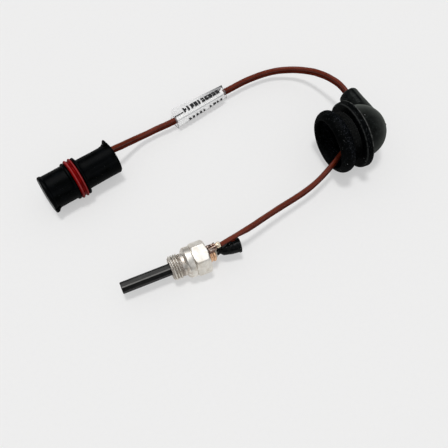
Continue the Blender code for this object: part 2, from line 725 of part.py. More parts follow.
def groove_ridges():
    """Valley and crest of each ridge round the bell's groove."""
    step = (GROOVE_REAR - GROOVE_FRONT) / RIDGES
    points = []
    for k in range(RIDGES):
        points.append((GROOVE_FRONT + step * k, NECK_GROOVE_R - RIDGE_HALF_HEIGHT))
        points.append((GROOVE_FRONT + step * (k + 0.5), NECK_GROOVE_R + RIDGE_HALF_HEIGHT))
    return points


def dome(radius, steps):
    """Quarter circle that closes the bell's rear on its axis."""
    angles = [math.radians(90 * k / steps) for k in range(1, steps + 1)]
    return [(DOME_BACK + radius * math.sin(angle), radius * math.cos(angle)) for angle in angles]


def grommet(looks):
    outside = [*BELL_LIP, *groove_ridges(), *BELL_FLANGE, *dome(DOME_R, 8)]
    inside = [*BELL_INSIDE, *dome(DOME_R - DOME_WALL, 7)]
    tube = (
        (0.0, 0.0), (0.0, TUBE_R), (TUBE_REACH - 0.5, TUBE_R),
        (TUBE_REACH - 0.12, TUBE_R - 0.15), (TUBE_REACH, TUBE_R - 0.5), (TUBE_REACH, 0.0),
    )
    tube_bore = (
        (1.5, 0.0), (1.5, TUBE_BORE_R), (TUBE_REACH - 0.4, TUBE_BORE_R),
        (TUBE_REACH + 0.6, TUBE_BORE_R + 0.5), (TUBE_REACH + 0.6, 0.0),
    )
    body = turned_piece("grommet", outside, 36, BELL_FRAME, looks["grommet"], TUBE_END)
    for name, profile, segments, place, operation, label in (
        ("cut_tube", tube, 26, TUBE_FRAME, "UNION", "tube"),
        ("cut_grommet_hollow", inside, 28, BELL_FRAME, "DIFFERENCE", "hollow"),
        ("cut_tube_bore", tube_bore, 22, TUBE_FRAME, "DIFFERENCE", "bore"),
    ):
        other = turned_piece(name, profile, segments, place, origin=TUBE_END)
        boolean(body, other, operation, label)


# Marker sleeve and the printed strip in it

MARKER_AT, MARKER_LENGTH, MARKER_ROLL_DEG = 176.9, 26.6, 28.0
MARKER_SECTION = (  # a quarter of the sleeve's outline: (across, up)
    (0.8, 2.6), (1.5, 2.42), (3.85, 0.42), (4.1, 0.0),
)
MARKER_WALL = 0.35
STRIP_LENGTH, STRIP_GAP, STRIP_THICKNESS = 25.0, 0.08, 0.15
STRIP_EDGE_SCALE, STRIP_EDGE_RISE = 0.93, 0.23  # keeps its edge short of the sleeve's side

MARKER_ORIGIN = lead_point(MARKER_AT)
MARKER_FRAME = frame_of(MARKER_ORIGIN, lead_plan(MARKER_AT)[2]) @ Matrix.Rotation(
    math.radians(-MARKER_ROLL_DEG), 4, "X"
)


def inset_quarter(inset):
    """MARKER_SECTION scaled so that its top and side move inwards by the inset."""
    across = 1.0 - inset / MARKER_SECTION[-1][0]
    up = 1.0 - inset / MARKER_SECTION[0][1]
    return [(y * across, z * up) for y, z in MARKER_SECTION], across, up


def marker_outline(inset):
    """The sleeve's outline: four mirrored quarters."""
    quarter = inset_quarter(inset)[0]
    back = quarter[-2::-1]
    points = quarter + [(y, -z) for y, z in back]
    points += [(-y, -z) for y, z in quarter]
    points += [(-y, z) for y, z in back]
    return points[::-1]


def marker_sleeve(looks):
    solid = bmesh.new()
    half = MARKER_LENGTH / 2
    outer, inner = marker_outline(0.0), marker_outline(MARKER_WALL)
    rows = [
        [solid.verts.new(MARKER_FRAME @ Vector((x, y, z))) for y, z in outline]
        for outline, x in ((outer, -half), (outer, half), (inner, half), (inner, -half))
    ]
    skin(solid, rows + rows[:1])
    finish("marker_sleeve", solid, looks["sleeve"], MARKER_ORIGIN)


def strip_row(inset):
    """One face of the strip, from the top's local -Y end to its edge on the local +Y side."""
    (top, shoulder, _, _), across, up = inset_quarter(inset)
    side_y, side_z = MARKER_SECTION[2]
    edge = (side_y * STRIP_EDGE_SCALE * across, (side_z + STRIP_EDGE_RISE) * up)
    return [(-top[0], top[1]), top, shoulder, edge]


def marker_strip(looks):
    """Follows the inside of the sleeve over its top and down its side towards the scene's -Y."""
    near = MARKER_WALL + STRIP_GAP
    outline = strip_row(near) + strip_row(near + STRIP_THICKNESS)[::-1]
    strip = prism(outline, -STRIP_LENGTH / 2, STRIP_LENGTH / 2, MARKER_FRAME)
    finish("marker_strip", strip, looks["strip"], MARKER_ORIGIN, smooth=False)


# Connector: its local X runs from the mouth to the rear, where the lead comes in

CONN_DEG, CONN_LENGTH, CONN_Z = 11.45, 31.8, 8.55
CONN_FRONT_R, CONN_REAR_R, CONN_RIM_R = 7.35, 6.5, 7.75
SEAL_R, SEAL_VALLEY_R, GROOVE_R = 8.5, 7.75, 6.6
EXIT_SIDE, EXIT_UP = 1.8, LEAD_HEIGHTS[-1][1] - CONN_Z  # the lead's end from the axis
PIN_R, PIN_STEP = 0.75, 2.2
BARREL_R, BARREL_BORE_R = 1.1, 0.7  # the rear part of a contact
PIN_WAY_R, BARREL_WAY_R = 0.85, 1.25
SLOT_WIDTH, SLOT_HEIGHT, SLOT_CORNER_R = 2.9, 5.0, 1.1
SLOT_SIDE, SLOT_UP = EXIT_SIDE - 0.2, EXIT_UP - 0.35
TAIL_FROM = LEAD_LENGTH - 0.5  # each wire leaves the lead's route here for its contact
TAIL_START_PULL, TAIL_END_PULL, TAIL_END_X = 4.0, 7.0, 23.4


def connector_frame():
    rear = lead_point(LEAD_LENGTH) - direction(CONN_DEG + 90) * EXIT_SIDE
    rear.z = CONN_Z
    return frame_of(rear - direction(CONN_DEG) * CONN_LENGTH, CONN_DEG)


CONN_FRAME = connector_frame()
CONN_ORIGIN = lead_point(FLEX_AT[-1])


def connector_piece(name, profile, segments, look=None, place=CONN_FRAME):
    return turned_piece(name, profile, segments, place, look, CONN_ORIGIN)


def arc_ridge(name, middle_deg, half_deg, count, edge_share, outline):
    """Helper: ridge over an arc about the connector's axis, highest at its middle.

    The outline's columns are (along, radius, extra radius at full height). The height follows
    a half sine wave, cut short at either end by edge_share.
    """
    rings = []
    for k in range(count):
        share = k / (count - 1)
        angle = math.radians(middle_deg + half_deg * (2 * share - 1))
        rise = math.sin(math.pi * (edge_share + (1 - 2 * edge_share) * share))
        ring = []
        for x, base, extra in outline:
            radius = base + extra * rise
            point = Vector((x, radius * math.cos(angle), radius * math.sin(angle)))
            ring.append(CONN_FRAME @ point)
        rings.append(ring)
    return finish(name, swept(rings), origin=CONN_ORIGIN)


def pull_lip():
    """Helper: flared lip at the rear end, on the local +Y side and a little up."""
    rear, radius = CONN_LENGTH, CONN_REAR_R
    outline = (
        (rear - 4.2, radius - 0.45, 0.0), (rear - 4.2, radius - 0.05, 0.0),
        (rear - 2.4, radius, 0.35), (rear - 1.5, radius, 1.15),
        (rear - 0.95, radius, 2.1), (rear - 0.6, radius, 2.1),
        (rear - 0.15, radius, 0.6), (rear - 0.1, radius - 0.45, 0.0),
    )
    return arc_ridge(
        "cut_pull_lip", middle_deg=24, half_deg=34, count=9, edge_share=0.06, outline=outline
    )


def key_lug():
    """Helper: lug on the mouth's rim, on the local -Y side and a little down."""
    outline = (
        (0.15, CONN_FRONT_R - 0.5, 0.0), (0.2, CONN_RIM_R, 0.75), (1.2, CONN_RIM_R, 0.8),
        (2.2, CONN_FRONT_R + 0.25, 0.0), (3.0, CONN_FRONT_R - 0.2, 0.0),
        (3.0, CONN_FRONT_R - 0.5, 0.0),
    )
    return arc_ridge(
        "cut_key_lug", middle_deg=205, half_deg=16, count=5, edge_share=0.12, outline=outline
    )


def connector_housing(looks):
    profile = (
        # mouth's rim and front barrel
        (0.0, 6.0), (0.0, 7.0), (0.25, CONN_RIM_R - 0.1), (0.8, CONN_RIM_R),
        (1.3, CONN_RIM_R - 0.1), (1.7, CONN_FRONT_R), (10.5, CONN_FRONT_R),
        # two collars with the seal's groove between them
        (10.7, 7.9), (10.95, 8.0), (11.6, 8.0), (11.8, 7.8), (11.85, GROOVE_R),
        (15.35, GROOVE_R), (15.4, 8.0), (15.6, 8.15), (16.3, 8.1), (16.5, 7.8),
        # rear barrel
        (16.6, CONN_REAR_R), (CONN_LENGTH - 0.5, CONN_REAR_R),
        (CONN_LENGTH, CONN_REAR_R - 0.4), (CONN_LENGTH, 5.5),
        # bore, with a step behind the contact carrier
        (23.0, 5.5), (23.0, 4.9), (21.3, 4.9), (21.3, 5.95),
    )
    body = connector_piece("connector_housing", profile, 32, looks["housing"])
    boolean(body, pull_lip(), "UNION", "pull_lip")
    boolean(body, key_lug(), "UNION", "key_lug")


def seal_ring(looks):
    """Ring with one low rib in front and two high ones behind."""
    profile = (
        (12.0, GROOVE_R + 0.05), (12.0, SEAL_VALLEY_R), (12.15, 8.1), (12.35, 8.2),
        (12.6, SEAL_VALLEY_R), (12.95, SEAL_VALLEY_R + 0.1), (13.15, SEAL_R - 0.1),
        (13.4, SEAL_R), (13.65, SEAL_R - 0.1), (13.9, SEAL_VALLEY_R), (14.3, SEAL_VALLEY_R),
        (14.55, SEAL_R - 0.1), (14.8, SEAL_R), (15.0, SEAL_R - 0.15), (15.2, SEAL_VALLEY_R),
        (15.2, GROOVE_R + 0.05),
    )
    connector_piece("seal_ring", profile, 32, looks["seal"])


def contact_way(word, pin_frame):
    """Helper: stepped hole through the carrier."""
    profile = (
        (8.0, 0.0), (8.0, PIN_WAY_R), (13.0, PIN_WAY_R),
        (13.0, BARREL_WAY_R), (23.0, BARREL_WAY_R), (23.0, 0.0),
    )
    return connector_piece(f"cut_way_{word}", profile, 16, place=pin_frame)


def contact(word, pin_frame, looks):
    """Pin with a hollow rear barrel, and the wire's strands in it."""
    profile = (
        (3.2, 0.0), (3.2, 0.35), (3.8, PIN_R), (13.1, PIN_R), (13.1, BARREL_R),
        (22.2, BARREL_R), (22.2, BARREL_BORE_R), (19.4, BARREL_BORE_R), (19.4, 0.0),
    )
    connector_piece(f"contact_{word}", profile, 14, looks["tin"], pin_frame)
    strands = ((19.6, 0.0), (19.6, CORE_R), (23.3, CORE_R), (23.3, 0.0))
    connector_piece(f"core_{word}_rear", strands, 10, looks["core"], pin_frame)


def connector_wire(word, side, pin_frame, look):
    """The wire's last length, through the rear bung to its contact."""
    outside = lead_points(FLEX_AT[-1] + FLEX_GAP / 2, TAIL_FROM, side * WIRE_STEP)
    ahead = outside[-1] - outside[-2]
    ahead.normalize()
    tail = curve(
        outside[-1],
        ahead * TAIL_START_PULL,
        pin_frame @ Vector((TAIL_END_X, 0.0, 0.0)),
        -direction(CONN_DEG) * TAIL_END_PULL,
        4,
    )
    wire = tube_along(outside + tail[1:], WIRE_R)
    finish(f"wire_{word}_connector", wire, look, CONN_ORIGIN)


def contacts(looks):
    """Carrier with its two contacts, one above the other, and the wires that reach them."""
    profile = ((9.5, 0.0), (9.5, 5.4), (9.9, 5.8), (21.2, 5.8), (21.2, 0.0))
    carrier = connector_piece("contact_carrier", profile, 28, looks["carrier"])
    for word, side, look in WIRES:
        pin_frame = CONN_FRAME @ Matrix.Translation(Vector((0.0, 0.0, side * PIN_STEP)))
        boolean(carrier, contact_way(word, pin_frame), "DIFFERENCE", f"way_{word}")
        contact(word, pin_frame, looks)
        connector_wire(word, side, pin_frame, looks[look])


def rear_bung(looks):
    """Disc in the housing's rear, with a slot for the wires."""
    profile = ((29.9, 0.0), (29.9, 5.2), (30.1, 5.4), (31.0, 5.4), (31.2, 5.2), (31.2, 0.0))
    bung = connector_piece("rear_bung", profile, 28, looks["bung"])
    slot_frame = CONN_FRAME @ Matrix.Translation(Vector((0.0, SLOT_SIDE, SLOT_UP)))
    outline = rounded_box(SLOT_WIDTH, SLOT_HEIGHT, SLOT_CORNER_R)
    slot = finish("cut_bung_slot", prism(outline, 29.0, 33.0, slot_frame), origin=CONN_ORIGIN)
    boolean(bung, slot, "DIFFERENCE", "slot")


def main():
    clear_scene()
    looks = {
        **metal_looks(),
        **ceramic_and_paper_looks(),
        **rubber_looks(),
        **plastic_looks(),
    }

    plug_body(looks)
    ceramic_rod(looks)
    rod_seal(looks)
    terminal_bush(looks)
    centre_terminal(looks)
    earth_band(looks)
    earth_crimp(looks)

    boot = splice_boot(looks)
    splice_ferrule(looks)
    probe_wires(boot, looks)
    lead_wires(looks)

    grommet(looks)
    marker_sleeve(looks)
    marker_strip(looks)

    connector_housing(looks)
    seal_ring(looks)
    contacts(looks)
    rear_bung(looks)


main()
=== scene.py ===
# A threaded hexagon plug with a ceramic rod, and its two-wire lead, which runs through an
# elbowed rubber grommet and a marked clear sleeve to a round connector.
# Lengths are in millimetres in the plug's frame: +X runs along the plug from its rod toward
# its lead, the hexagon's rear face is at x = 0 and the floor is at z = 0.
# SHIFT and MM turn that into the row's frame, in metres.
import math

import bmesh
import bpy
from mathutils import Matrix, Vector, noise


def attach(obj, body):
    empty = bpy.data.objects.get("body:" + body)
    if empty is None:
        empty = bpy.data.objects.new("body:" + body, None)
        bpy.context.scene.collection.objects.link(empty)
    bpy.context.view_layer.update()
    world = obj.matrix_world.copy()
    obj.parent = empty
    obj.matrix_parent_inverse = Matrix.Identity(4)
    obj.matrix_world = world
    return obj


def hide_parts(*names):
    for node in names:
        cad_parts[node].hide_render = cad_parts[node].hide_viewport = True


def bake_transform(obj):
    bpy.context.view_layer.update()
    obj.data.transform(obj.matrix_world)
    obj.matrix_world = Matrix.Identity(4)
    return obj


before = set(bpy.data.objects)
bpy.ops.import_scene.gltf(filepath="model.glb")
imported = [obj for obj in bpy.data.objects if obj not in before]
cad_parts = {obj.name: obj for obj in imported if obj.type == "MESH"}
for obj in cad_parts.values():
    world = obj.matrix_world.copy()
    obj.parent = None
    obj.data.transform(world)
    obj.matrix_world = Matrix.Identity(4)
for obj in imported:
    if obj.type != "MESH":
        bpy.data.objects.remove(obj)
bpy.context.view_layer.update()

MM = 0.001
SHIFT = Vector((-19.3, -34.4, 0.0))

# ---------------------------------------------------------------- sizes

# Plug: AF is a size across flats
HEX_AF, HEX_LENGTH, HEX_ROLL_DEG = 12.0, 5.8, 9.9
HEX_CORNER = HEX_AF / 2 / math.cos(math.radians(30))
PLUG_Z = HEX_CORNER * math.cos(math.radians(30 - HEX_ROLL_DEG))
COLLAR_R, COLLAR_LENGTH = 6.15, 3.55
NECK_R, NECK_LENGTH = 4.45, 1.6
THREAD_R, THREAD_ROOT_R, THREAD_END_R = 5.0, 4.36, 4.26
THREAD_PITCH, THREAD_TURNS, THREAD_STEP = 1.0, 4, 0.05
SPIGOT_R, SPIGOT_LENGTH = 2.7, 3.1
X_COLLAR = -HEX_LENGTH
X_NECK = X_COLLAR - COLLAR_LENGTH
X_THREAD = X_NECK - NECK_LENGTH
X_FRONT = X_THREAD - THREAD_TURNS * THREAD_PITCH
ROD_AF, ROD_OUT, ROD_IN, ROD_TURN_DEG = 4.4, 19.8, 7.0, 19.6

# Band, crimp and boot behind the plug
BAND_R, BAND_X0, BAND_X1 = 3.25, 0.35, 2.95
CRIMP_X0, CRIMP_X1, CRIMP_TURN_DEG = 0.35, 3.55, 4.0
CRIMP_Z = PLUG_Z + 5.0
GRIP_X1, GRIP_R = 5.45, 1.2
BOOT_X0, BOOT_LENGTH, BOOT_SIDE, BOOT_DROP = 3.35, 10.3, -0.9, -0.35

# Lead: WIRE_STEP is how far each wire lies above or below the lead's line
WIRE_R, WIRE_STEP, BUNDLE_FROM = 0.9, 0.908, 12.0
LEAD_START, LEAD_HEADING = (5.6, -0.25), 14.2
# Runs of the lead in plan: length, turn to the left in degrees
LEAD_RUNS = (
    (40.0, 0.0), (12.0, 9.9), (22.0, 0.0), (17.0, 71.3), (7.2, 0.0),
    (18.7, 12.1), (11.5, 45.2), (28.6, 40.3), (45.4, 0.0), (19.7, 10.3),
)
LEAD_LENGTH = sum(length for length, _ in LEAD_RUNS)
# Distance along the lead, height
LEAD_HEIGHTS = (
    (0.0, 11.55), (12.0, 9.9), (24.0, 8.7), (40.0, 7.6), (50.0, 7.8),
    (61.0, 9.2), (74.0, 11.6), (90.0, 14.25), (98.2, 14.25), (109.5, 12.2),
    (128.4, 6.0), (143.4, 4.5), (157.0, 4.5), (202.0, 4.5), (221.9, 11.25),
)
# Distance along the lead, how far it lies to the left of its plain route
LEAD_LIE = (
    (2.0, 0.0), (8.0, -0.3), (14.0, -0.34), (22.0, -0.22), (30.0, -0.14), (38.0, -0.3),
    (46.0, -0.48), (54.0, -0.55), (60.0, -0.45), (68.0, 0.0), (98.0, 0.0), (102.0, -0.35),
    (106.0, -0.5), (112.0, -0.1), (117.0, 0.4), (122.0, 0.62), (127.0, 0.3), (131.0, -0.05),
    (136.0, -0.3), (141.0, -0.15), (146.0, 0.28), (150.0, 0.5), (155.0, 0.6), (159.0, 0.52),
    (164.0, 0.3), (176.0, 0.0), (186.0, 0.3), (190.0, 0.32), (194.0, 0.0), (198.0, -0.52),
    (202.0, -0.88), (206.0, -1.0), (210.0, -0.78), (214.0, -0.38), (218.0, 0.0),
)
# Distances of the places where the lead flexes
FLEX_AT = (14.0, 47.0, 102.5, 135.0, 211.0)
# Wander of the wires: how far, over what length
BROAD_WANDER, FINE_WANDER = (0.08, 9.0), (0.03, 3.5)
WANDER_END = 221.0

# Grommet: the tube's end lies TUBE_END_AT along the lead
TUBE_END_AT = 98.2
TUBE_R, TUBE_BORE_R, TUBE_REACH, TUBE_BACK, ELBOW_DEG = 4.35, 3.1, 19.5, 18.5, 92.4
LIP_R, FLANGE_R = 13.35, 14.25
DOME_R, DOME_WALL, DOME_BACK = 11.0, 2.4, 11.8

# Marker: a quarter of the sleeve's section as (across, up)
MARKER_AT, MARKER_LENGTH, MARKER_ROLL_DEG = 176.9, 26.6, 28.0
MARKER_SECTION = ((0.8, 2.6), (1.5, 2.42), (3.85, 0.42), (4.1, 0.0))

# Connector: EXIT_SIDE and EXIT_UP place the wires on its rear
CONN_DEG, CONN_LENGTH, CONN_Z = 11.45, 31.8, 8.55
CONN_FRONT_R, CONN_REAR_R, CONN_RIM_R = 7.35, 6.5, 7.75
SEAL_R, SEAL_VALLEY_R, GROOVE_R = 8.5, 7.75, 6.6
EXIT_SIDE, EXIT_UP = 1.8, 2.7
PIN_R, PIN_STEP = 0.75, 2.2


# ---------------------------------------------------------------- frames and curves


def along(heading_deg):
    """Unit vector along a heading in plan."""
    return Vector((math.cos(math.radians(heading_deg)), math.sin(math.radians(heading_deg)), 0.0))


def left_of(heading_deg):
    """Unit vector in plan to the left of a heading."""
    return Vector((-math.sin(math.radians(heading_deg)), math.cos(math.radians(heading_deg)), 0.0))


def frame_of(point, heading_deg, pitch_deg=0.0):
    """Frame at a point with X along the heading, pitched upward."""
    return (
        Matrix.Translation(Vector(point))
        @ Matrix.Rotation(math.radians(heading_deg), 4, "Z")
        @ Matrix.Rotation(math.radians(-pitch_deg), 4, "Y")
    )


def ease(share):
    """Smooth step from 0 to 1."""
    share = min(max(share, 0.0), 1.0)
    return share * share * (3 - 2 * share)


def cubic(start, start_slope, end, end_slope, share):
    """Point on a Hermite curve, for numbers or vectors."""
    square, cube = share**2, share**3
    return (
        start * (2 * cube - 3 * square + 1)
        + start_slope * (cube - 2 * square + share)
        + end * (-2 * cube + 3 * square)
        + end_slope * (cube - square)
    )


def hermite(start, start_slope, end, end_slope, count):
    return [cubic(start, start_slope, end, end_slope, k / count) for k in range(count + 1)]


def on_curve(table, slopes, distance):
    """The table's value on a smooth curve through its points, held level past its ends."""
    if distance <= table[0][0]:
        return table[0][1]
    if distance >= table[-1][0]:
        return table[-1][1]
    i = next(i for i in range(len(table) - 1) if distance <= table[i + 1][0])
    (start, low), (end, high) = table[i], table[i + 1]
    span = end - start
    return cubic(low, slopes[i] * span, high, slopes[i + 1] * span, (distance - start) / span)


def height_slopes(table):
    """Harmonic means of the neighbouring rises, so that the curve never overshoots."""
    rises = [(b[1] - a[1]) / (b[0] - a[0]) for a, b in zip(table, table[1:])]
    slopes = [rises[0]]
    for before, after in zip(rises, rises[1:]):
        level = before * after <= 0.0
        slopes.append(0.0 if level else 2.0 * before * after / (before + after))
    return slopes + [rises[-1]]


def lie_slopes(table):
    """Slopes between each point's neighbours, level at both ends."""
    inner = [(b[1] - a[1]) / (b[0] - a[0]) for a, b in zip(table, table[2:])]
    return [0.0] + inner + [0.0]


# ---------------------------------------------------------------- the lead's route

HEIGHT_SLOPES = height_slopes(LEAD_HEIGHTS)
LIE_SLOPES = lie_slopes(LEAD_LIE)


def lead_plan(distance):
    """x, y and heading in degrees of the plain route."""
    x, y = LEAD_START
    heading = math.radians(LEAD_HEADING)
    remaining = distance
    for length, turn in LEAD_RUNS:
        step = min(remaining, length)
        if step <= 0:
            break
        if turn:
            radius = length / math.radians(turn)
            bend = step / radius
            x += radius * (math.sin(heading + bend) - math.sin(heading))
            y -= radius * (math.cos(heading + bend) - math.cos(heading))
            heading += bend
        else:
            x += step * math.cos(heading)
            y += step * math.sin(heading)
        remaining -= step
    if remaining > 0:
        x += remaining * math.cos(heading)
        y += remaining * math.sin(heading)
    return x, y, math.degrees(heading)


def lead_height(distance):
    return on_curve(LEAD_HEIGHTS, HEIGHT_SLOPES, distance)


def lead_point(distance, lift=0.0):
    """Point on the lead, or on a wire that lies above or below it by the lift."""
    x, y, heading = lead_plan(distance)
    slope = (lead_height(distance + 0.1) - lead_height(distance - 0.1)) / 0.2
    point = Vector((x, y, lead_height(distance) + lift * math.hypot(1.0, slope)))
    # The wires wander a little, except at both ends and inside the marker
    calm = min(
        ease(distance / 10.0),
        ease(abs(distance - MARKER_AT) / 18.0 - 0.7),
        ease((WANDER_END - distance) / 10.0),
    )
    seed = 3.1 if lift > 0 else 8.7
    (broad, broad_size), (fine, fine_size) = BROAD_WANDER, FINE_WANDER
    offset = (
        on_curve(LEAD_LIE, LIE_SLOPES, distance)
        + broad * calm * noise.noise(Vector((distance / broad_size, seed, 0.0)))
        + fine * calm * noise.noise(Vector((distance / fine_size, 0.0, seed)))
    )
    return point + left_of(heading) * offset


# ---------------------------------------------------------------- where the pieces lie


def connector_frame():
    """The connector's frame: its front rim at x = 0, with X toward its rear."""
    x, y, _ = lead_plan(LEAD_LENGTH)
    rear = Vector((x, y, 0.0)) - left_of(CONN_DEG) * EXIT_SIDE
    rear.z = CONN_Z
    return frame_of(rear - along(CONN_DEG) * CONN_LENGTH, CONN_DEG)


def lead_spot(distance):
    """Point and heading of the plain route at its height."""
    x, y, heading = lead_plan(distance)
    return Vector((x, y, lead_height(distance))), heading


PLUG = frame_of((0.0, 0.0, PLUG_Z), 0.0)
CONNECTOR = connector_frame()
MARKER_SPOT, MARKER_HEADING = lead_spot(MARKER_AT)

# The grommet's bell has X from its lip toward its dome; its tube has X toward the tube's end
TUBE_END, TUBE_HEADING = lead_spot(TUBE_END_AT)
ELBOW = TUBE_END - along(TUBE_HEADING) * TUBE_REACH
BELL_HEADING = TUBE_HEADING - ELBOW_DEG
BELL_LIP = ELBOW - along(BELL_HEADING) * TUBE_BACK
BELL = frame_of(BELL_LIP, BELL_HEADING)
TUBE = frame_of(ELBOW, TUBE_HEADING)

# The boot has X along its own slightly sloping length, away from the plug
BOOT_START = Vector((BOOT_X0 + 0.55, 0.0, PLUG_Z))
BOOT_LINE = Vector((BOOT_X0 + BOOT_LENGTH, BOOT_SIDE, PLUG_Z + BOOT_DROP)) - BOOT_START
BOOT_LONG = BOOT_LINE.length
BOOT = frame_of(
    BOOT_START,
    math.degrees(math.atan2(BOOT_LINE.y, BOOT_LINE.x)),
    math.degrees(math.atan2(BOOT_LINE.z, math.hypot(BOOT_LINE.x, BOOT_LINE.y))),
)


# ---------------------------------------------------------------- node helpers


class Graph:
    """A node tree under construction. A value may be a socket, a number or an RGB tuple."""

    def __init__(self, tree):
        self.tree = tree
        tree.nodes.clear()

    def node(self, kind, **settings):
        node = self.tree.nodes.new(kind)
        for key, value in settings.items():
            setattr(node, key, value)
        return node

    def link(self, output, socket):
        self.tree.links.new(output, socket)

    def feed(self, value, socket):
        if hasattr(value, "is_output"):
            self.link(value, socket)
        else:
            socket.default_value = (*value, 1.0) if isinstance(value, tuple) else value

    def calc(self, operation, *values, clamp=False):
        node = self.node("ShaderNodeMath", operation=operation, use_clamp=clamp)
        for value, socket in zip(values, node.inputs):
            self.feed(value, socket)
        return node.outputs[0]

    def ramp(self, value, span, to=(0.0, 1.0), kind="SMOOTHSTEP"):
        """Goes between the two numbers of to as the value crosses the span."""
        node = self.node("ShaderNodeMapRange", clamp=True, interpolation_type=kind)
        for number, socket in zip((value, *span, *to), node.inputs):
            self.feed(number, socket)
        return node.outputs[0]


class Look(Graph):
    """A procedural material under construction; base is its colour so far."""

    def __init__(self, name):
        self.material = bpy.data.materials.new(name)
        self.material.use_nodes = True
        super().__init__(self.material.node_tree)
        out = self.node("ShaderNodeOutputMaterial")
        self.shader = self.node("ShaderNodeBsdfPrincipled")
        self.link(self.shader.outputs[0], out.inputs["Surface"])
        self.coord = self.node("ShaderNodeTexCoord").outputs["Object"]
        self.base = self.bumped = None

    # Masks

    def calc(self, operation, *values, clamp=False):
        """Inputs that are left out are zero."""
        return super().calc(operation, *(*values, 0.0, 0.0)[:3], clamp=clamp)

    def times(self, *parts):
        product = parts[0]
        for part in parts[1:]:
            product = self.calc("MULTIPLY", product, part)
        return product

    def spread(self, value, to, span=(0.3, 0.7)):
        """A linear ramp, for roughness and the like."""
        return self.ramp(value, span, to, "LINEAR")

    def band(self, value, rise, fall):
        """1 between the rise and the fall, and 0 outside them."""
        return self.times(self.ramp(value, rise), self.ramp(value, fall, to=(1.0, 0.0)))

    def mapped(self, location, scale=(1.0, 1.0, 1.0), turn=0.0, kind="POINT"):
        node = self.node("ShaderNodeMapping", vector_type=kind)
        self.link(self.coord, node.inputs["Vector"])
        node.inputs["Location"].default_value = location
        node.inputs["Rotation"].default_value = (0.0, 0.0, turn)
        node.inputs["Scale"].default_value = scale
        return node.outputs[0]

    def noise(self, size, detail=3.0, rough=0.55, stretch=(1.0, 1.0, 1.0), seed=0.0):
        """Noise with features about size mm wide; a small stretch draws them out on that axis."""
        place = self.mapped((seed * 0.173, seed * 0.311, seed * 0.127), stretch)
        node = self.node("ShaderNodeTexNoise")
        node.inputs["Scale"].default_value = 1000.0 / size
        node.inputs["Detail"].default_value = detail
        node.inputs["Roughness"].default_value = rough
        self.link(place, node.inputs["Vector"])
        return node.outputs[0]

    def specks(self, size, share, seed):
        """Sparse round specks: 1 inside a speck and 0 elsewhere."""
        place = self.mapped((seed * 0.2, seed * 0.13, seed * 0.31))
        cell = self.node("ShaderNodeTexVoronoi", feature="F1")
        cell.inputs["Scale"].default_value = 1000.0 / (size * 4.0)
        self.link(place, cell.inputs["Vector"])
        near = self.ramp(cell.outputs["Distance"], span=(0.1, 0.2), to=(1.0, 0.0))
        split = self.node("ShaderNodeSeparateColor")
        self.link(cell.outputs["Color"], split.inputs[0])
        return self.times(near, self.calc("LESS_THAN", split.outputs[0], share))

    def split(self, vector):
        node = self.node("ShaderNodeSeparateXYZ")
        self.link(vector, node.inputs[0])
        return node.outputs

    def local(self, point, heading_deg):
        """x, y, z in millimetres measured from a point, with x along the heading."""
        location = (Vector(point) + SHIFT) * MM
        turn = math.radians(heading_deg)
        return self.split(self.mapped(location, (MM, MM, MM), turn, "TEXTURE"))

    def radius(self, y, z):
        return self.calc("SQRT", self.calc("ADD", self.times(y, y), self.times(z, z)))

    def normal(self, kind):
        return self.split(self.node("ShaderNodeNewGeometry").outputs[kind])

    def worn(self, span):
        """Raised edges."""
        return self.ramp(self.node("ShaderNodeNewGeometry").outputs["Pointiness"], span)

    def facing(self):
        """0 where the surface faces the viewer and 1 where it turns edge on."""
        node = self.node("ShaderNodeLayerWeight")
        node.inputs["Blend"].default_value = 0.5
        return node.outputs["Facing"]

    def matt_rim(self, spec, reach=1.15):
        """Gloss that fades away where the surface turns edge on."""
        rim = self.times(self.facing(), reach)
        return self.times(spec, self.calc("SUBTRACT", 1.0, rim, clamp=True))

    # Colour, relief and surface

    def mix(self, share, first, second):
        node = self.node("ShaderNodeMix", data_type="RGBA", clamp_factor=True)
        for value, index in ((share, 0), (first, 6), (second, 7)):
            self.feed(value, node.inputs[index])
        return node.outputs[2]

    def paint(self, tone, *masks, amount=None):
        """Lays a tone over the base where all the masks are 1, scaled by the amount."""
        shares = masks if amount is None else (*masks, amount)
        self.base = self.mix(self.times(*shares), self.base, tone)

    def bump(self, height, depth, strength):
        """Relief of a depth in millimetres, on top of any relief already there."""
        node = self.node("ShaderNodeBump")
        node.inputs["Strength"].default_value = strength
        node.inputs["Distance"].default_value = depth * MM
        self.link(height, node.inputs["Height"])
        if self.bumped is not None:
            self.link(self.bumped, node.inputs["Normal"])
        self.bumped = node.outputs[0]
        self.link(self.bumped, self.shader.inputs["Normal"])

    def glow(self, strength):
        self.shader.inputs["Emission Color"].default_value = (1.0, 1.0, 1.0, 1.0)
        self.link(strength, self.shader.inputs["Emission Strength"])

    def surface(self, rough, spec=0.5, metal=0.0, alpha=1.0):
        """Sets the shader and returns the finished material."""
        for name, value in (
            ("Base Color", self.base),
            ("Roughness", rough),
            ("Specular IOR Level", spec),
            ("Metallic", metal),
            ("Alpha", alpha),
        ):
            self.feed(value, self.shader.inputs[name])
        return self.material


def scaled(tone, factor, plus=0.0):
    return tuple(min(1.0, channel * factor + plus) for channel in tone)


# ---------------------------------------------------------------- materials


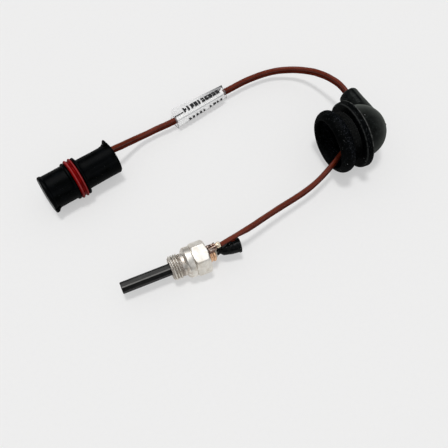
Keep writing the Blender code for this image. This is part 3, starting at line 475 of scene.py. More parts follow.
def steel_look():
    """Nickel plate, stained near the neck and dark in the thread's roots."""
    look = Look("plug_nickel")
    x, y, z = look.local((0.0, 0.0, PLUG_Z), 0.0)
    radius = look.radius(y, z)
    on_thread = look.band(x, rise=(-15.4, -15.0), fall=(-10.6, -10.2))
    root = look.times(on_thread, look.ramp(radius, span=(4.45, 4.98), to=(1.0, 0.0)))
    stain = look.noise(size=2.4, detail=4.0, rough=0.6, seed=3)
    near_neck = look.band(x, rise=(-12.4, -10.8), fall=(-8.6, -7.6))
    cloud = look.noise(size=3.6, detail=5.0, rough=0.62, seed=1)
    light, dark = (0.83, 0.80, 0.74), (0.70, 0.67, 0.61)
    look.base = look.mix(look.ramp(cloud, span=(0.35, 0.7)), light, dark)
    look.paint((0.52, 0.44, 0.34), look.ramp(stain, span=(0.45, 0.68)), amount=0.38)
    look.paint((0.46, 0.39, 0.33), near_neck, look.ramp(stain, span=(0.4, 0.62)), amount=0.5)
    look.paint((0.36, 0.31, 0.27), root, amount=0.6)
    look.paint((0.95, 0.94, 0.91), look.worn(span=(0.53, 0.66)), amount=0.5)
    fine = look.noise(size=0.35, detail=2.0, rough=0.5, stretch=(1.0, 0.12, 0.12), seed=6)
    rings = look.noise(size=0.16, detail=2.0, rough=0.5, stretch=(1.0, 0.03, 0.03), seed=9)
    mottle = look.noise(size=1.1, detail=4.0, rough=0.6, seed=12)
    look.bump(rings, depth=0.01, strength=0.5)
    look.bump(mottle, depth=0.02, strength=0.5)
    uneven = look.calc("ADD", look.times(fine, 0.5), look.times(cloud, 0.5))
    rough = look.spread(uneven, to=(0.32, 0.5))
    return look.surface(rough=look.calc("ADD", rough, look.times(root, 0.2)), metal=1.0)


def ceramic_look():
    """Charcoal ceramic: painted light on its upward facet, a painted highlight along one corner, and
    fine lengthwise streaks.
    """
    look = Look("rod_ceramic")
    _, y, z = look.local((0.0, 0.0, PLUG_Z), 0.0)
    radius = look.radius(y, z)
    _, normal_y, normal_z = look.normal("True Normal")
    streak = look.noise(size=0.5, detail=4.0, rough=0.6, stretch=(0.12, 1.0, 1.0), seed=2)
    grain = look.noise(size=0.12, detail=2.0, rough=0.5, seed=4)
    cloud = look.noise(size=4.0, rough=0.5, seed=7)
    dark, light = (0.0016, 0.0016, 0.0016), (0.0075, 0.0073, 0.007)
    look.base = look.mix(look.ramp(streak, span=(0.38, 0.66)), dark, light)
    look.paint((0.014, 0.0138, 0.013), look.ramp(cloud, span=(0.5, 0.72)), amount=0.45)
    # Painted light on the facets that face up
    look.paint(
        (0.048, 0.047, 0.045),
        look.ramp(normal_z, span=(0.9, 0.97)),
        look.ramp(streak, span=(0.25, 0.6), to=(0.5, 1.0)),
        amount=0.8,
    )
    # Painted highlight along the upper corner on the -Y side
    look.paint(
        (0.19, 0.187, 0.18),
        look.ramp(radius, span=(2.27, 2.32)),
        look.ramp(z, span=(1.9, 2.1)),
        look.ramp(y, span=(-0.3, -0.6)),
        look.ramp(streak, span=(0.3, 0.5), to=(0.55, 1.0)),
    )
    # Painted highlight along all the other edges, faintly
    look.paint(
        (0.06, 0.059, 0.056),
        look.ramp(radius, span=(2.28, 2.33)),
        look.ramp(streak, span=(0.45, 0.6)),
        amount=0.3,
    )
    look.paint((0.2, 0.19, 0.18), look.specks(size=0.16, share=0.10, seed=2.0), amount=0.5)
    away = look.ramp(normal_y, span=(0.45, 0.6))
    look.bump(streak, depth=0.012, strength=0.5)
    look.bump(grain, depth=0.006, strength=0.6)
    return look.surface(
        rough=look.spread(streak, to=(0.3, 0.48)),
        spec=look.times(0.14, look.calc("SUBTRACT", 1.0, look.times(away, 0.86))),
    )


def bright_metal_look(name, light, dark, rough, seed, depth=0.02):
    """Clouded bright metal, lighter on its edges; depth is of its relief."""
    look = Look(name)
    cloud = look.noise(size=0.9, detail=4.0, rough=0.6, seed=seed + 1)
    fine = look.noise(size=0.2, rough=0.6, seed=seed + 3)
    look.base = look.mix(look.ramp(cloud, span=(0.36, 0.66)), light, dark)
    look.paint(scaled(light, 1.2), look.worn(span=(0.53, 0.64)), amount=0.6)
    look.bump(cloud, depth=depth, strength=0.6)
    look.bump(fine, depth=depth * 0.3, strength=0.6)
    return look.surface(rough=look.spread(fine, to=(rough, rough + 0.16)), metal=1.0)


def crimp_look():
    """Plated crimp, much darker towards its bottom and with painted shade in its fold and slots:
    bright only on its rounded tops.
    """
    look = Look("crimp_plate")
    x, y, z = look.local((0.0, LEAD_START[1], CRIMP_Z), 0.0)
    blotch = look.noise(size=0.8, detail=4.0, rough=0.65, seed=63)
    fine = look.noise(size=0.22, rough=0.6, seed=64)
    light, dark = (0.62, 0.52, 0.45), (0.2, 0.11, 0.08)
    look.base = look.mix(look.ramp(blotch, span=(0.36, 0.62)), light, dark)
    # Much darker towards the bottom
    look.paint((0.09, 0.035, 0.025), look.ramp(z, span=(0.75, -0.2)), amount=0.85)
    # Painted shade in the middle fold and the slot on each side of it
    fold = look.ramp(look.calc("ABSOLUTE", y), span=(0.3, 0.12))
    from_slot = look.calc("SUBTRACT", look.calc("ABSOLUTE", y), 0.86)
    slots = look.ramp(look.calc("ABSOLUTE", from_slot), span=(0.2, 0.08))
    groove = look.calc("ADD", fold, slots, clamp=True)
    inside = look.times(look.ramp(x, span=(0.7, 0.95)), look.ramp(x, span=(3.3, 3.0)))
    look.paint((0.03, 0.014, 0.011), groove, inside, amount=0.85)
    look.bump(blotch, depth=0.04, strength=0.6)
    look.bump(fine, depth=0.01, strength=0.6)
    return look.surface(rough=look.spread(fine, to=(0.12, 0.3)), metal=1.0)


def copper_look():
    look = Look("band_copper")
    cloud = look.noise(size=1.3, detail=4.0, rough=0.6, seed=5)
    heat = look.noise(size=3.0, detail=2.0, rough=0.5, seed=15)
    light, dark = (0.86, 0.56, 0.36), (0.62, 0.36, 0.2)
    look.base = look.mix(look.ramp(cloud, span=(0.35, 0.68)), light, dark)
    look.paint((0.4, 0.22, 0.16), look.ramp(heat, span=(0.46, 0.66)), amount=0.5)
    look.paint((1.0, 0.78, 0.58), look.worn(span=(0.52, 0.62)), amount=0.7)
    fine = look.noise(size=0.18, detail=2.0, rough=0.5, stretch=(1.0, 0.1, 0.1), seed=8)
    look.bump(cloud, depth=0.02, strength=0.6)
    look.bump(fine, depth=0.006, strength=0.6)
    return look.surface(rough=look.spread(cloud, to=(0.2, 0.42)), metal=1.0)


def black_look(name, dark, light, rough, spec, grain_size, depth, dust, seed):
    """Black rubber or moulded plastic, with grain, uneven gloss, worn edges and dust."""
    look = Look(name)
    cloud = look.noise(size=5.0, detail=4.0, rough=0.6, seed=seed + 1)
    grain = look.noise(size=grain_size, rough=0.6, seed=seed + 2)
    wide = look.noise(size=2.2, seed=seed + 5)
    look.base = look.mix(look.ramp(cloud, span=(0.4, 0.68)), dark, light)
    look.paint(scaled(light, 3.2, plus=0.003), look.worn(span=(0.52, 0.6)), amount=0.35)
    dust_tone = (0.2, 0.2, 0.19)
    look.paint(dust_tone, look.ramp(wide, span=(0.5, 0.72)), amount=dust)
    large = look.specks(size=0.22, share=0.09, seed=seed + 1.0)
    look.paint(scaled(dust_tone, 2.0), large, amount=0.75)
    look.paint(dust_tone, look.specks(size=0.11, share=0.2, seed=seed + 4.0), amount=0.55)
    look.bump(wide, depth=depth * 2.2, strength=0.5)
    look.bump(grain, depth=depth, strength=0.7)
    return look.surface(
        rough=look.spread(wide, to=(rough, rough + 0.16)), spec=look.matt_rim(spec)
    )


def rubber_look():
    """Dusty black rubber with a greyish dome, and painted highlights on the upper ridge tops, the
    flange's thin edges, the dome's outline and a streak along the tube.
    """
    look = Look("grommet_rubber")
    x, y, z = look.local(BELL_LIP, BELL_HEADING)
    radius = look.radius(y, z)
    tube_x, tube_y, _ = look.local(ELBOW, TUBE_HEADING)
    cloud = look.noise(size=4.0, detail=4.0, rough=0.6, seed=101)
    fine = look.noise(size=0.55, rough=0.65, seed=102)
    middle = look.noise(size=1.7, detail=4.0, rough=0.65, seed=103)
    dark, light = (0.0003, 0.0005, 0.0005), (0.001, 0.0014, 0.0016)
    look.base = look.mix(look.ramp(cloud, span=(0.4, 0.66)), dark, light)
    look.paint(
        (0.038, 0.042, 0.045),
        look.ramp(fine, span=(0.56, 0.7)),
        look.ramp(middle, span=(0.44, 0.62)),
        amount=0.85,
    )
    # Dust on the outer flank of the lip
    look.paint(
        (0.028, 0.031, 0.04),
        look.band(x, rise=(-1.2, 0.2), fall=(2.1, 3.5)),
        look.ramp(fine, span=(0.5, 0.68)),
        amount=0.6,
    )
    dome = look.ramp(x, span=(9.9, 12.0))
    edge = look.calc("POWER", look.facing(), 2.3)
    look.paint((0.009, 0.011, 0.01), dome, look.ramp(middle, span=(0.34, 0.72)), amount=0.7)
    # Painted sheen where the dome turns edge on
    look.paint((0.185, 0.2, 0.185), dome, edge, amount=0.8)
    # Painted highlight on the tops of the upper ridges between the lip and the flange
    look.paint(
        (0.032, 0.033, 0.032),
        look.ramp(x, span=(2.9, 3.2)),
        look.ramp(x, span=(6.5, 6.2)),
        look.ramp(radius, span=(10.54, 10.66)),
        look.ramp(z, span=(3.0, 9.0), to=(0.0, 0.8)),
    )
    # Painted highlight along both edges of the flange
    look.paint(
        (0.04, 0.043, 0.042),
        look.ramp(radius, span=(13.2, 13.9)),
        look.band(x, rise=(6.38, 6.62), fall=(6.88, 7.12)),
        look.ramp(middle, span=(0.3, 0.55)),
        amount=0.7,
    )
    look.paint(
        (0.09, 0.094, 0.09),
        look.ramp(radius, span=(13.7, 14.1)),
        look.band(x, rise=(8.88, 9.12), fall=(9.48, 9.72)),
        look.ramp(middle, span=(0.3, 0.6)),
        amount=0.8,
    )
    # Along the tube: a painted highlight streak, a dark streak beside it and dust on its right side
    on_tube = look.ramp(tube_x, span=(9.8, 11.6))
    look.paint(
        (0.042, 0.045, 0.044),
        on_tube,
        look.band(tube_y, rise=(-0.25, 0.45), fall=(0.95, 1.65)),
        look.ramp(tube_x, span=(17.6, 16.4)),
        look.ramp(middle, span=(0.25, 0.6)),
        amount=0.5,
    )
    dark_streak = look.band(tube_y, rise=(-0.95, -0.55), fall=(-0.45, -0.05))
    look.paint((0.0012, 0.0014, 0.002), on_tube, dark_streak)
    look.paint(
        (0.024, 0.026, 0.029),
        on_tube,
        look.ramp(tube_y, span=(-1.0, -2.2)),
        look.ramp(fine, span=(0.5, 0.68)),
        amount=0.6,
    )
    dome_or_tube = look.calc("MAXIMUM", dome, on_tube)
    outside = look.calc("MAXIMUM", look.ramp(radius, span=(9.6, 10.4)), dome_or_tube)
    large = look.specks(size=0.3, share=0.05, seed=118.0)
    small = look.specks(size=0.16, share=0.2, seed=112.0)
    look.paint((0.32, 0.33, 0.33), outside, large, amount=0.9)
    look.paint((0.12, 0.125, 0.13), outside, small, amount=0.6)
    look.bump(middle, depth=0.06, strength=0.5)
    look.bump(fine, depth=0.03, strength=0.6)
    return look.surface(rough=look.spread(middle, to=(0.42, 0.6)), spec=look.matt_rim(0.028))


def nylon_look():
    """Black moulded nylon, with a painted highlight on the lower part of the thin edge round its
    mouth.
    """
    look = Look("housing_nylon")
    x, y, z = look.local(CONNECTOR.translation, CONN_DEG)
    radius = look.radius(y, z)
    cloud = look.noise(size=5.0, detail=4.0, rough=0.6, seed=121)
    grain = look.noise(size=0.22, rough=0.6, seed=122)
    wide = look.noise(size=1.8, detail=4.0, rough=0.6, stretch=(0.5, 1.0, 1.0), seed=123)
    dark, light = (0.0003, 0.0006, 0.0005), (0.0009, 0.0012, 0.0015)
    look.base = look.mix(look.ramp(cloud, span=(0.4, 0.66)), dark, light)
    look.paint((0.0035, 0.0045, 0.006), look.ramp(wide, span=(0.5, 0.76)), amount=0.4)
    ring = look.times(look.ramp(radius, span=(6.2, 6.4)), look.ramp(radius, span=(7.3, 7.1)))
    # Painted highlight on the lower part of the edge round the mouth
    look.paint(
        (0.3, 0.305, 0.305),
        look.ramp(x, span=(0.75, 0.45)),
        ring,
        look.ramp(z, span=(4.5, 2.0)),
        amount=0.8,
    )
    look.paint((0.07, 0.075, 0.08), look.specks(size=0.14, share=0.05, seed=124.0), amount=0.5)
    look.bump(wide, depth=0.02, strength=0.4)
    look.bump(grain, depth=0.006, strength=0.6)
    return look.surface(rough=look.spread(wide, to=(0.22, 0.36)), spec=look.matt_rim(0.034))


def wire_look(name, light, dark, seed, gloss, painted_sheen):
    """Brown insulation; the last argument sets how strongly a highlight is painted on its upper +Y
    side.
    """
    look = Look(name)
    cloud = look.noise(size=6.0, rough=0.5, seed=seed)
    grain = look.noise(size=0.4, rough=0.6, seed=seed + 2)
    lumps = look.noise(size=2.0, detail=2.0, rough=0.5, seed=seed + 4)
    look.base = look.mix(look.ramp(cloud, span=(0.36, 0.66)), light, dark)
    scuff = look.noise(size=0.9, detail=4.0, rough=0.65, seed=seed + 6)
    look.paint(scaled(light, 1.9, plus=0.02), look.ramp(scuff, span=(0.6, 0.78)), amount=0.35)
    look.paint((0.4, 0.33, 0.28), look.specks(size=0.14, share=0.08, seed=seed), amount=0.5)
    facing = look.facing()
    normal_x, normal_y, normal_z = look.normal("Normal")
    # How far the surface leans toward the direction (0.218, 0.505, 0.835), up and away from the
    # camera; a highlight is painted where it leans most
    lean = look.calc("ADD", look.times(normal_x, 0.218), look.times(normal_y, 0.505))
    lean = look.calc("ADD", lean, look.times(normal_z, 0.835))
    look.paint(
        (0.2, 0.078, 0.054),
        look.ramp(lean, span=(0.84, 0.97)),
        look.ramp(scuff, span=(0.3, 0.55), to=(0.6, 1.0)),
        amount=painted_sheen,
    )
    # Painted shade along the outline, where the surface turns edge on
    look.paint(scaled(dark, 0.2), look.calc("POWER", facing, 3.0), amount=0.8)
    look.bump(lumps, depth=0.03, strength=0.4)
    look.bump(grain, depth=0.012, strength=0.5)
    rough = look.spread(scuff, to=(0.2, 0.34), span=(0.35, 0.75))
    return look.surface(rough=rough, spec=look.matt_rim(gloss, reach=1.3))


def seal_look():
    """Red silicone, with a painted highlight on the tops of its ridges."""
    look = Look("seal_silicone")
    _, y, z = look.local(CONNECTOR.translation, CONN_DEG)
    radius = look.radius(y, z)
    cloud = look.noise(size=3.0, seed=21)
    grain = look.noise(size=0.4, detail=2.0, rough=0.5, seed=22)
    light, dark = (0.19, 0.0006, 0.0004), (0.12, 0.0003, 0.0003)
    look.base = look.mix(look.ramp(cloud, span=(0.38, 0.68)), light, dark)
    # Painted highlight on the ridge tops
    look.paint(
        (0.34, 0.055, 0.058),
        look.ramp(radius, span=(8.3, 8.5)),
        look.ramp(cloud, span=(0.25, 0.6), to=(0.6, 1.0)),
        amount=0.9,
    )
    look.paint((0.5, 0.35, 0.33), look.specks(size=0.12, share=0.04, seed=3.0), amount=0.4)
    look.bump(grain, depth=0.004, strength=0.4)
    return look.surface(rough=look.spread(cloud, to=(0.28, 0.4)), spec=look.matt_rim(0.08))


def paper_look():
    """White strip with a fine grey line along its fold and slight painted shade on its near side."""
    look = Look("strip_paper")
    _, y, z = look.local(MARKER_SPOT, MARKER_HEADING)
    roll = math.radians(MARKER_ROLL_DEG)
    across = look.calc("SUBTRACT", look.times(y, math.cos(roll)), look.times(z, math.sin(roll)))
    fibre = look.noise(size=0.35, detail=4.0, rough=0.65, stretch=(1.0, 0.5, 1.0), seed=31)
    cloud = look.noise(size=5.0, detail=2.0, rough=0.5, seed=32)
    light, dark = (0.97, 0.97, 0.96), (0.92, 0.92, 0.92)
    look.base = look.mix(look.ramp(fibre, span=(0.35, 0.7)), light, dark)
    near = look.ramp(across, span=(1.1, 1.5))
    # Painted shade on the near side
    look.paint((0.86, 0.865, 0.87), near, amount=0.4)
    look.paint(
        (0.4, 0.41, 0.42),
        look.ramp(across, span=(0.95, 1.1)),
        look.ramp(across, span=(1.45, 1.3)),
        amount=0.85,
    )
    look.paint((0.8, 0.81, 0.82), look.ramp(cloud, span=(0.45, 0.7)), amount=0.12)
    look.bump(fibre, depth=0.006, strength=0.2)
    # A faint glow on the near side stands for light that passes through the paper
    look.glow(look.times(near, 0.2))
    return look.surface(rough=0.7, spec=0.15)


def ink_look():
    look = Look("strip_ink")
    grain = look.noise(size=0.25, detail=4.0, rough=0.7, seed=41)
    dark, light = (0.004, 0.004, 0.005), (0.03, 0.03, 0.032)
    look.base = look.mix(look.ramp(grain, span=(0.45, 0.75)), dark, light)
    look.bump(grain, depth=0.006, strength=0.4)
    return look.surface(rough=0.5, spec=0.3)


def sleeve_look():
    """Clear film, slightly milky, with painted shade at its cut ends and on its far side; it lets
    light through to the strip.
    """
    look = Look("sleeve_clear")
    x, y, _ = look.local(MARKER_SPOT, MARKER_HEADING)
    half = MARKER_LENGTH / 2
    haze = look.noise(size=2.5, detail=4.0, rough=0.6, stretch=(0.4, 1.0, 1.0), seed=51)
    scratch = look.noise(size=0.5, rough=0.6, stretch=(0.1, 1.0, 1.0), seed=52)
    far = look.ramp(y, span=(-0.5, -2.4))
    toward_end = look.ramp(x, span=(4.0, -13.0))
    back_end = look.ramp(x, span=(-half + 0.35, -half + 0.1))
    front_end = look.ramp(x, span=(half - 0.3, half - 0.12))
    ends = look.calc("ADD", back_end, front_end, clamp=True)
    shade = look.times(far, look.times(toward_end, toward_end))
    light, dark = (0.86, 0.87, 0.88), (0.74, 0.75, 0.77)
    look.base = look.mix(look.ramp(haze, span=(0.35, 0.7)), light, dark)
    # Painted shade on the far side, deepening toward -X
    look.paint((0.13, 0.13, 0.135), shade, amount=0.9)
    # Painted shade at both cut ends
    look.paint((0.05, 0.05, 0.052), ends, amount=0.9)
    solid = look.spread(haze, to=(0.05, 0.13))
    extra = look.calc("ADD", look.times(shade, 0.66), look.times(ends, 0.5))
    solid = look.calc("ADD", solid, extra, clamp=True)
    # Shadow and diffuse rays see a much thinner film
    path = look.node("ShaderNodeLightPath").outputs
    indirect = look.calc("MAXIMUM", path["Is Shadow Ray"], path["Is Diffuse Ray"])
    direct = look.calc("SUBTRACT", 1.0, indirect)
    look.bump(scratch, depth=0.004, strength=0.3)
    return look.surface(
        rough=look.spread(scratch, to=(0.24, 0.36)),
        spec=0.2,
        alpha=look.times(solid, look.calc("MAXIMUM", direct, 0.12)),
    )


def insulator_look():
    look = Look("bush_insulator")
    cloud = look.noise(size=1.0, detail=4.0, rough=0.6, seed=61)
    light, dark = (0.66, 0.63, 0.54), (0.5, 0.46, 0.38)
    look.base = look.mix(look.ramp(cloud, span=(0.35, 0.7)), light, dark)
    look.bump(cloud, depth=0.02, strength=0.5)
    return look.surface(rough=0.5, spec=0.4)


STEEL = steel_look()
CERAMIC = ceramic_look()
NICKEL = bright_metal_look(
    "terminal_nickel", light=(0.7, 0.62, 0.54), dark=(0.32, 0.24, 0.18),
    rough=0.16, seed=3.0, depth=0.03,
)
CRIMP = crimp_look()
GRIP = bright_metal_look(
    "grip_brass", light=(0.9, 0.8, 0.66), dark=(0.66, 0.5, 0.34),
    rough=0.26, seed=9.0, depth=0.03,
)
TIN = bright_metal_look(
    "contact_tin", light=(0.72, 0.69, 0.62), dark=(0.5, 0.46, 0.4), rough=0.24, seed=13.0
)
CORE = bright_metal_look(
    "core_copper", light=(0.8, 0.46, 0.28), dark=(0.55, 0.28, 0.15), rough=0.28, seed=17.0
)
BRAZE = bright_metal_look(
    "seal_braze", light=(0.46, 0.42, 0.35), dark=(0.3, 0.26, 0.2), rough=0.35, seed=19.0
)
COPPER = copper_look()
BOOT_RUBBER = black_look(
    "boot_rubber", dark=(0.0008, 0.0012, 0.0012), light=(0.002, 0.003, 0.003),
    rough=0.18, spec=0.14, grain_size=0.4, depth=0.012, dust=0.02, seed=4.0,
)
RUBBER = rubber_look()
NYLON = nylon_look()
CARRIER = black_look(
    "carrier_nylon", dark=(0.003, 0.003, 0.0035), light=(0.006, 0.006, 0.0065),
    rough=0.4, spec=0.15, grain_size=0.25, depth=0.01, dust=0.03, seed=27.0,
)
BUNG = black_look(
    "bung_rubber", dark=(0.0015, 0.0015, 0.0015), light=(0.004, 0.004, 0.004),
    rough=0.5, spec=0.1, grain_size=0.3, depth=0.015, dust=0.04, seed=29.0,
)
EARTH_WIRE = wire_look(
    "wire_brown", light=(0.138, 0.0225, 0.0095), dark=(0.105, 0.0155, 0.006),
    seed=71.0, gloss=0.2, painted_sheen=0.6,
)
# Same brown insulation as the upper wire, painted a little lighter to offset the shade the lower
# wire lies in
LIVE_WIRE = wire_look(
    "wire_brown_painted_lighter", light=(0.15, 0.0225, 0.0095), dark=(0.11, 0.0155, 0.0065),
    seed=83.0, gloss=0.03, painted_sheen=0.0,
)
SEAL = seal_look()
PAPER = paper_look()
INK = ink_look()
SLEEVE = sleeve_look()
BUSH = insulator_look()


# ---------------------------------------------------------------- shape helpers


def rounded(points, radius, steps=3, closed=False):
    """The outline with each corner replaced by a small curve."""
    corners = [Vector(point) for point in points]
    out = []
    for i, corner in enumerate(corners):
        if not closed and i in (0, len(corners) - 1):
            out.append(tuple(corner))
            continue
        before, after = corners[i - 1], corners[(i + 1) % len(corners)]
        length_in, length_out = (before - corner).length, (after - corner).length
        if min(length_in, length_out) < 1e-6:
            continue
        reach = min(radius, length_in * 0.48, length_out * 0.48)
        start = corner + (before - corner) * (reach / length_in)
        end = corner + (after - corner) * (reach / length_out)
        for k in range(steps + 1):
            share = k / steps
            middle = corner * (2 * share * (1 - share))
            out.append(tuple(start * (1 - share) ** 2 + middle + end * share * share))
    return out


def densify(points, step, closed=False):
    """The outline with points added so that none lie further apart than the step."""
    out = []
    count = len(points)
    for i in range(count if closed else count - 1):
        start, end = Vector(points[i]), Vector(points[(i + 1) % count])
        parts = max(1, math.ceil((end - start).length / step))
        out += [tuple(start.lerp(end, k / parts)) for k in range(parts)]
    if not closed:
        out.append(tuple(points[-1]))
    return out


def lathe(profile, place, segments=0, closed=False, shape=None, angles=None, solid=None):
    """Revolves (x, radius) points about local X. shape(x, angle, radius) may change a radius."""
    solid = solid or bmesh.new()
    angles = angles or [2 * math.pi * i / segments for i in range(segments)]
    rows = []
    for x, radius in profile:
        if radius < 1e-6:
            rows.append([solid.verts.new(place @ Vector((x, 0.0, 0.0)))])
            continue
        row = []
        for angle in angles:
            reach = shape(x, angle, radius) if shape else radius
            point = Vector((x, reach * math.cos(angle), reach * math.sin(angle)))
            row.append(solid.verts.new(place @ point))
        rows.append(row)
    pairs = list(zip(rows, rows[1:]))
    if closed:
        pairs.append((rows[-1], rows[0]))
    for row, after in pairs:
        for i in range(len(angles)):
            j = (i + 1) % len(angles)
            if len(row) == 1:
                solid.faces.new((row[0], after[j], after[i]))
            elif len(after) == 1:
                solid.faces.new((row[i], row[j], after[0]))
            else:
                solid.faces.new((row[i], row[j], after[j], after[i]))
    return solid


def skin(rings, solid=None, closed=False):
    """Joins rings of points into a bar with capped ends, or into a closed loop."""
    solid = solid or bmesh.new()
    rows = [[solid.verts.new(point) for point in ring] for ring in rings]
    count = len(rows[0])
    pairs = list(zip(rows, rows[1:]))
    if closed:
        pairs.append((rows[-1], rows[0]))
    for row, after in pairs:
        for i in range(count):
            j = (i + 1) % count
            solid.faces.new((row[i], row[j], after[j], after[i]))
    if not closed:
        solid.faces.new(rows[0][::-1])
        solid.faces.new(rows[-1])
    return solid


def finish(name, solid, look=None, angle=40.0):
    """The bmesh as an object in the row's frame; edges sharper than the angle stay sharp."""
    bmesh.ops.recalc_face_normals(solid, faces=solid.faces)
    for vert in solid.verts:
        vert.co = (vert.co + SHIFT) * MM
    for face in solid.faces:
        face.smooth = True
    mesh = bpy.data.meshes.new(name)
    solid.to_mesh(mesh)
    solid.free()
    if angle is not None:
        mesh.set_sharp_from_angle(angle=math.radians(angle))
    obj = bpy.data.objects.new(name, mesh)
    bpy.context.scene.collection.objects.link(obj)
    if look is not None:
        mesh.materials.append(look)
    return obj


def cut(target, cutter, operation="DIFFERENCE"):
    """Applies a Boolean at once and removes its cutter."""
    modifier = target.modifiers.new("cut", "BOOLEAN")
    modifier.operation = operation
    modifier.solver = "EXACT"
    modifier.object = cutter
    bpy.context.view_layer.update()
    graph = bpy.context.evaluated_depsgraph_get()
    made = bpy.data.meshes.new_from_object(target.evaluated_get(graph))
    target.modifiers.clear()
    target.data = made
    bpy.data.objects.remove(cutter, do_unlink=True)
    for face in made.polygons:
        face.use_smooth = True
    made.set_sharp_from_angle(angle=math.radians(40))


def wobble(amount, size, seed):
    """A radius change from smooth noise, for pieces that aren't perfectly round."""

    def shape(x, angle, radius):
        y, z = radius * math.cos(angle) / size, radius * math.sin(angle) / size
        return radius + amount * noise.noise(Vector((x / size, y, z + seed)))

    return shape


def swell(offset, width, power=2):
    """Bell curve: 1 at no offset, fading over the width."""
    return math.exp(-((offset / width) ** power))


def polygon_radius(angle, across, sides, roll_deg):
    """Distance from the axis to a regular polygon's flats."""
    step = 360 / sides
    turn = (math.degrees(angle) - roll_deg) % step - step / 2
    return across / 2 / math.cos(math.radians(turn))


def polygon_angles(sides, roll_deg, offsets):
    """Angles at the same offsets in degrees from each corner."""
    return [
        math.radians(360 / sides * k + roll_deg + offset)
        for k in range(sides)
        for offset in offsets
    ]


def round_end(ring, point, inward):
    """Three rings, outermost first, that ease the edge of a bar's end."""
    return [
        [point + (p - point) * 0.72 for p in ring],
        [point + inward * 0.06 + (p - point) * 0.93 for p in ring],
        [p + inward * 0.16 for p in ring],
    ]


def tube_rings(points, radius, count, seed=0.0, ends=(False, False), before=None, after=None):
    """Rings of a round bar along the points.

    ends rounds the first or the last edge; before and after are the points past each end.
    """
    first = points[0] if before is None else before
    last = points[-1] if after is None else after
    line = [first, *points, last]
    rings, aheads = [], []
    for i, point in enumerate(points):
        ahead = line[i + 2] - line[i]
        ahead.normalize()
        side = Vector((0.0, 0.0, 1.0)).cross(ahead)
        side.normalize()
        up = ahead.cross(side)
        ring = []
        for k in range(count):
            angle = 2 * math.pi * k / count
            place = point + side * math.cos(angle) + up * math.sin(angle)
            lump = noise.noise(place * 0.55 + Vector((seed, 0, 0)))
            reach = radius * (1.0 + 0.018 * lump)
            ring.append(point + side * (reach * math.cos(angle)) + up * (reach * math.sin(angle)))
        rings.append(ring)
        aheads.append(ahead)
    out = list(rings)
    if ends[0]:
        out = round_end(rings[0], points[0], aheads[0]) + out[1:]
    if ends[1]:
        out = out[:-1] + round_end(rings[-1], points[-1], -aheads[-1])[::-1]
    return out


def place(obj, body, slot, *nodes):
    """Hangs the object under its body's empty and hides the CAD nodes that it replaces."""
    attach(obj, body)
    if nodes:
        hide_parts(*nodes)


# ---------------------------------------------------------------- the plug and its rod


def thread_shape(x, angle, radius):
    """Rounded 60-degree thread at the plug's front; every other station keeps its radius."""
    if not (X_FRONT - 0.02 <= x <= X_THREAD + 0.02) or radius < 4.0:
        return radius
    phase = ((x - X_FRONT) / THREAD_PITCH - angle / (2 * math.pi)) % 1.0
    peak = 1.0 - abs(2.0 * phase - 1.0)
    rise = ease((peak - 0.08) / 0.84)
    crest = THREAD_ROOT_R + (THREAD_R - THREAD_ROOT_R) * rise
    fade = ease((x - X_FRONT) / 0.55) * ease((X_THREAD - x) / 0.5)
    return THREAD_END_R + (crest - THREAD_END_R) * fade


def soft_min(first, second, blend):
    share = min(max(0.5 + 0.5 * (second - first) / blend, 0.0), 1.0)
    return second + (first - second) * share - blend * share * (1.0 - share)


def hexagon_shape(x, angle, radius):
    """Flats that meet a cone at each end, with every edge eased over."""
    flat = polygon_radius(angle, HEX_AF, 6, HEX_ROLL_DEG)
    flat = soft_min(flat, HEX_CORNER - 0.1, 0.1)
    front = 6.08 + (x - X_COLLAR) * 1.12
    rear = 6.02 - x * 1.35
    return min(radius, soft_min(flat, min(front, rear), 0.12))


# Degrees from each corner where the hexagon's and the rod's outlines have points
HEX_OFFSETS = (
    -1.6, -0.8, 0.0, 0.8, 1.6, 3.0, 5.0, 8.0, 12.0, 16.0,
    20.0, 25.0, 30.0, 35.0, 40.0, 44.0, 48.0, 52.0, 55.0, 57.0,
)
ROD_OFFSETS = (-3.4, -2.0, -0.7, 0.7, 2.0, 3.4, 8.0, 14.0, 20.0, 22.5, 25.0, 31.0, 37.0)
# Distances from the collar of the hexagon's stations, close together on its cones
HEX_STATIONS = (
    0.0, 0.06, 0.14, 0.24, 0.34, 0.44, 0.54, 0.64, 0.76, 0.9, 1.1, 1.6, 2.3,
    3.0, 3.8, 4.5, 4.8, 5.0, 5.12, 5.24, 5.36, 5.46, 5.56, 5.66, 5.74, 5.8,
)


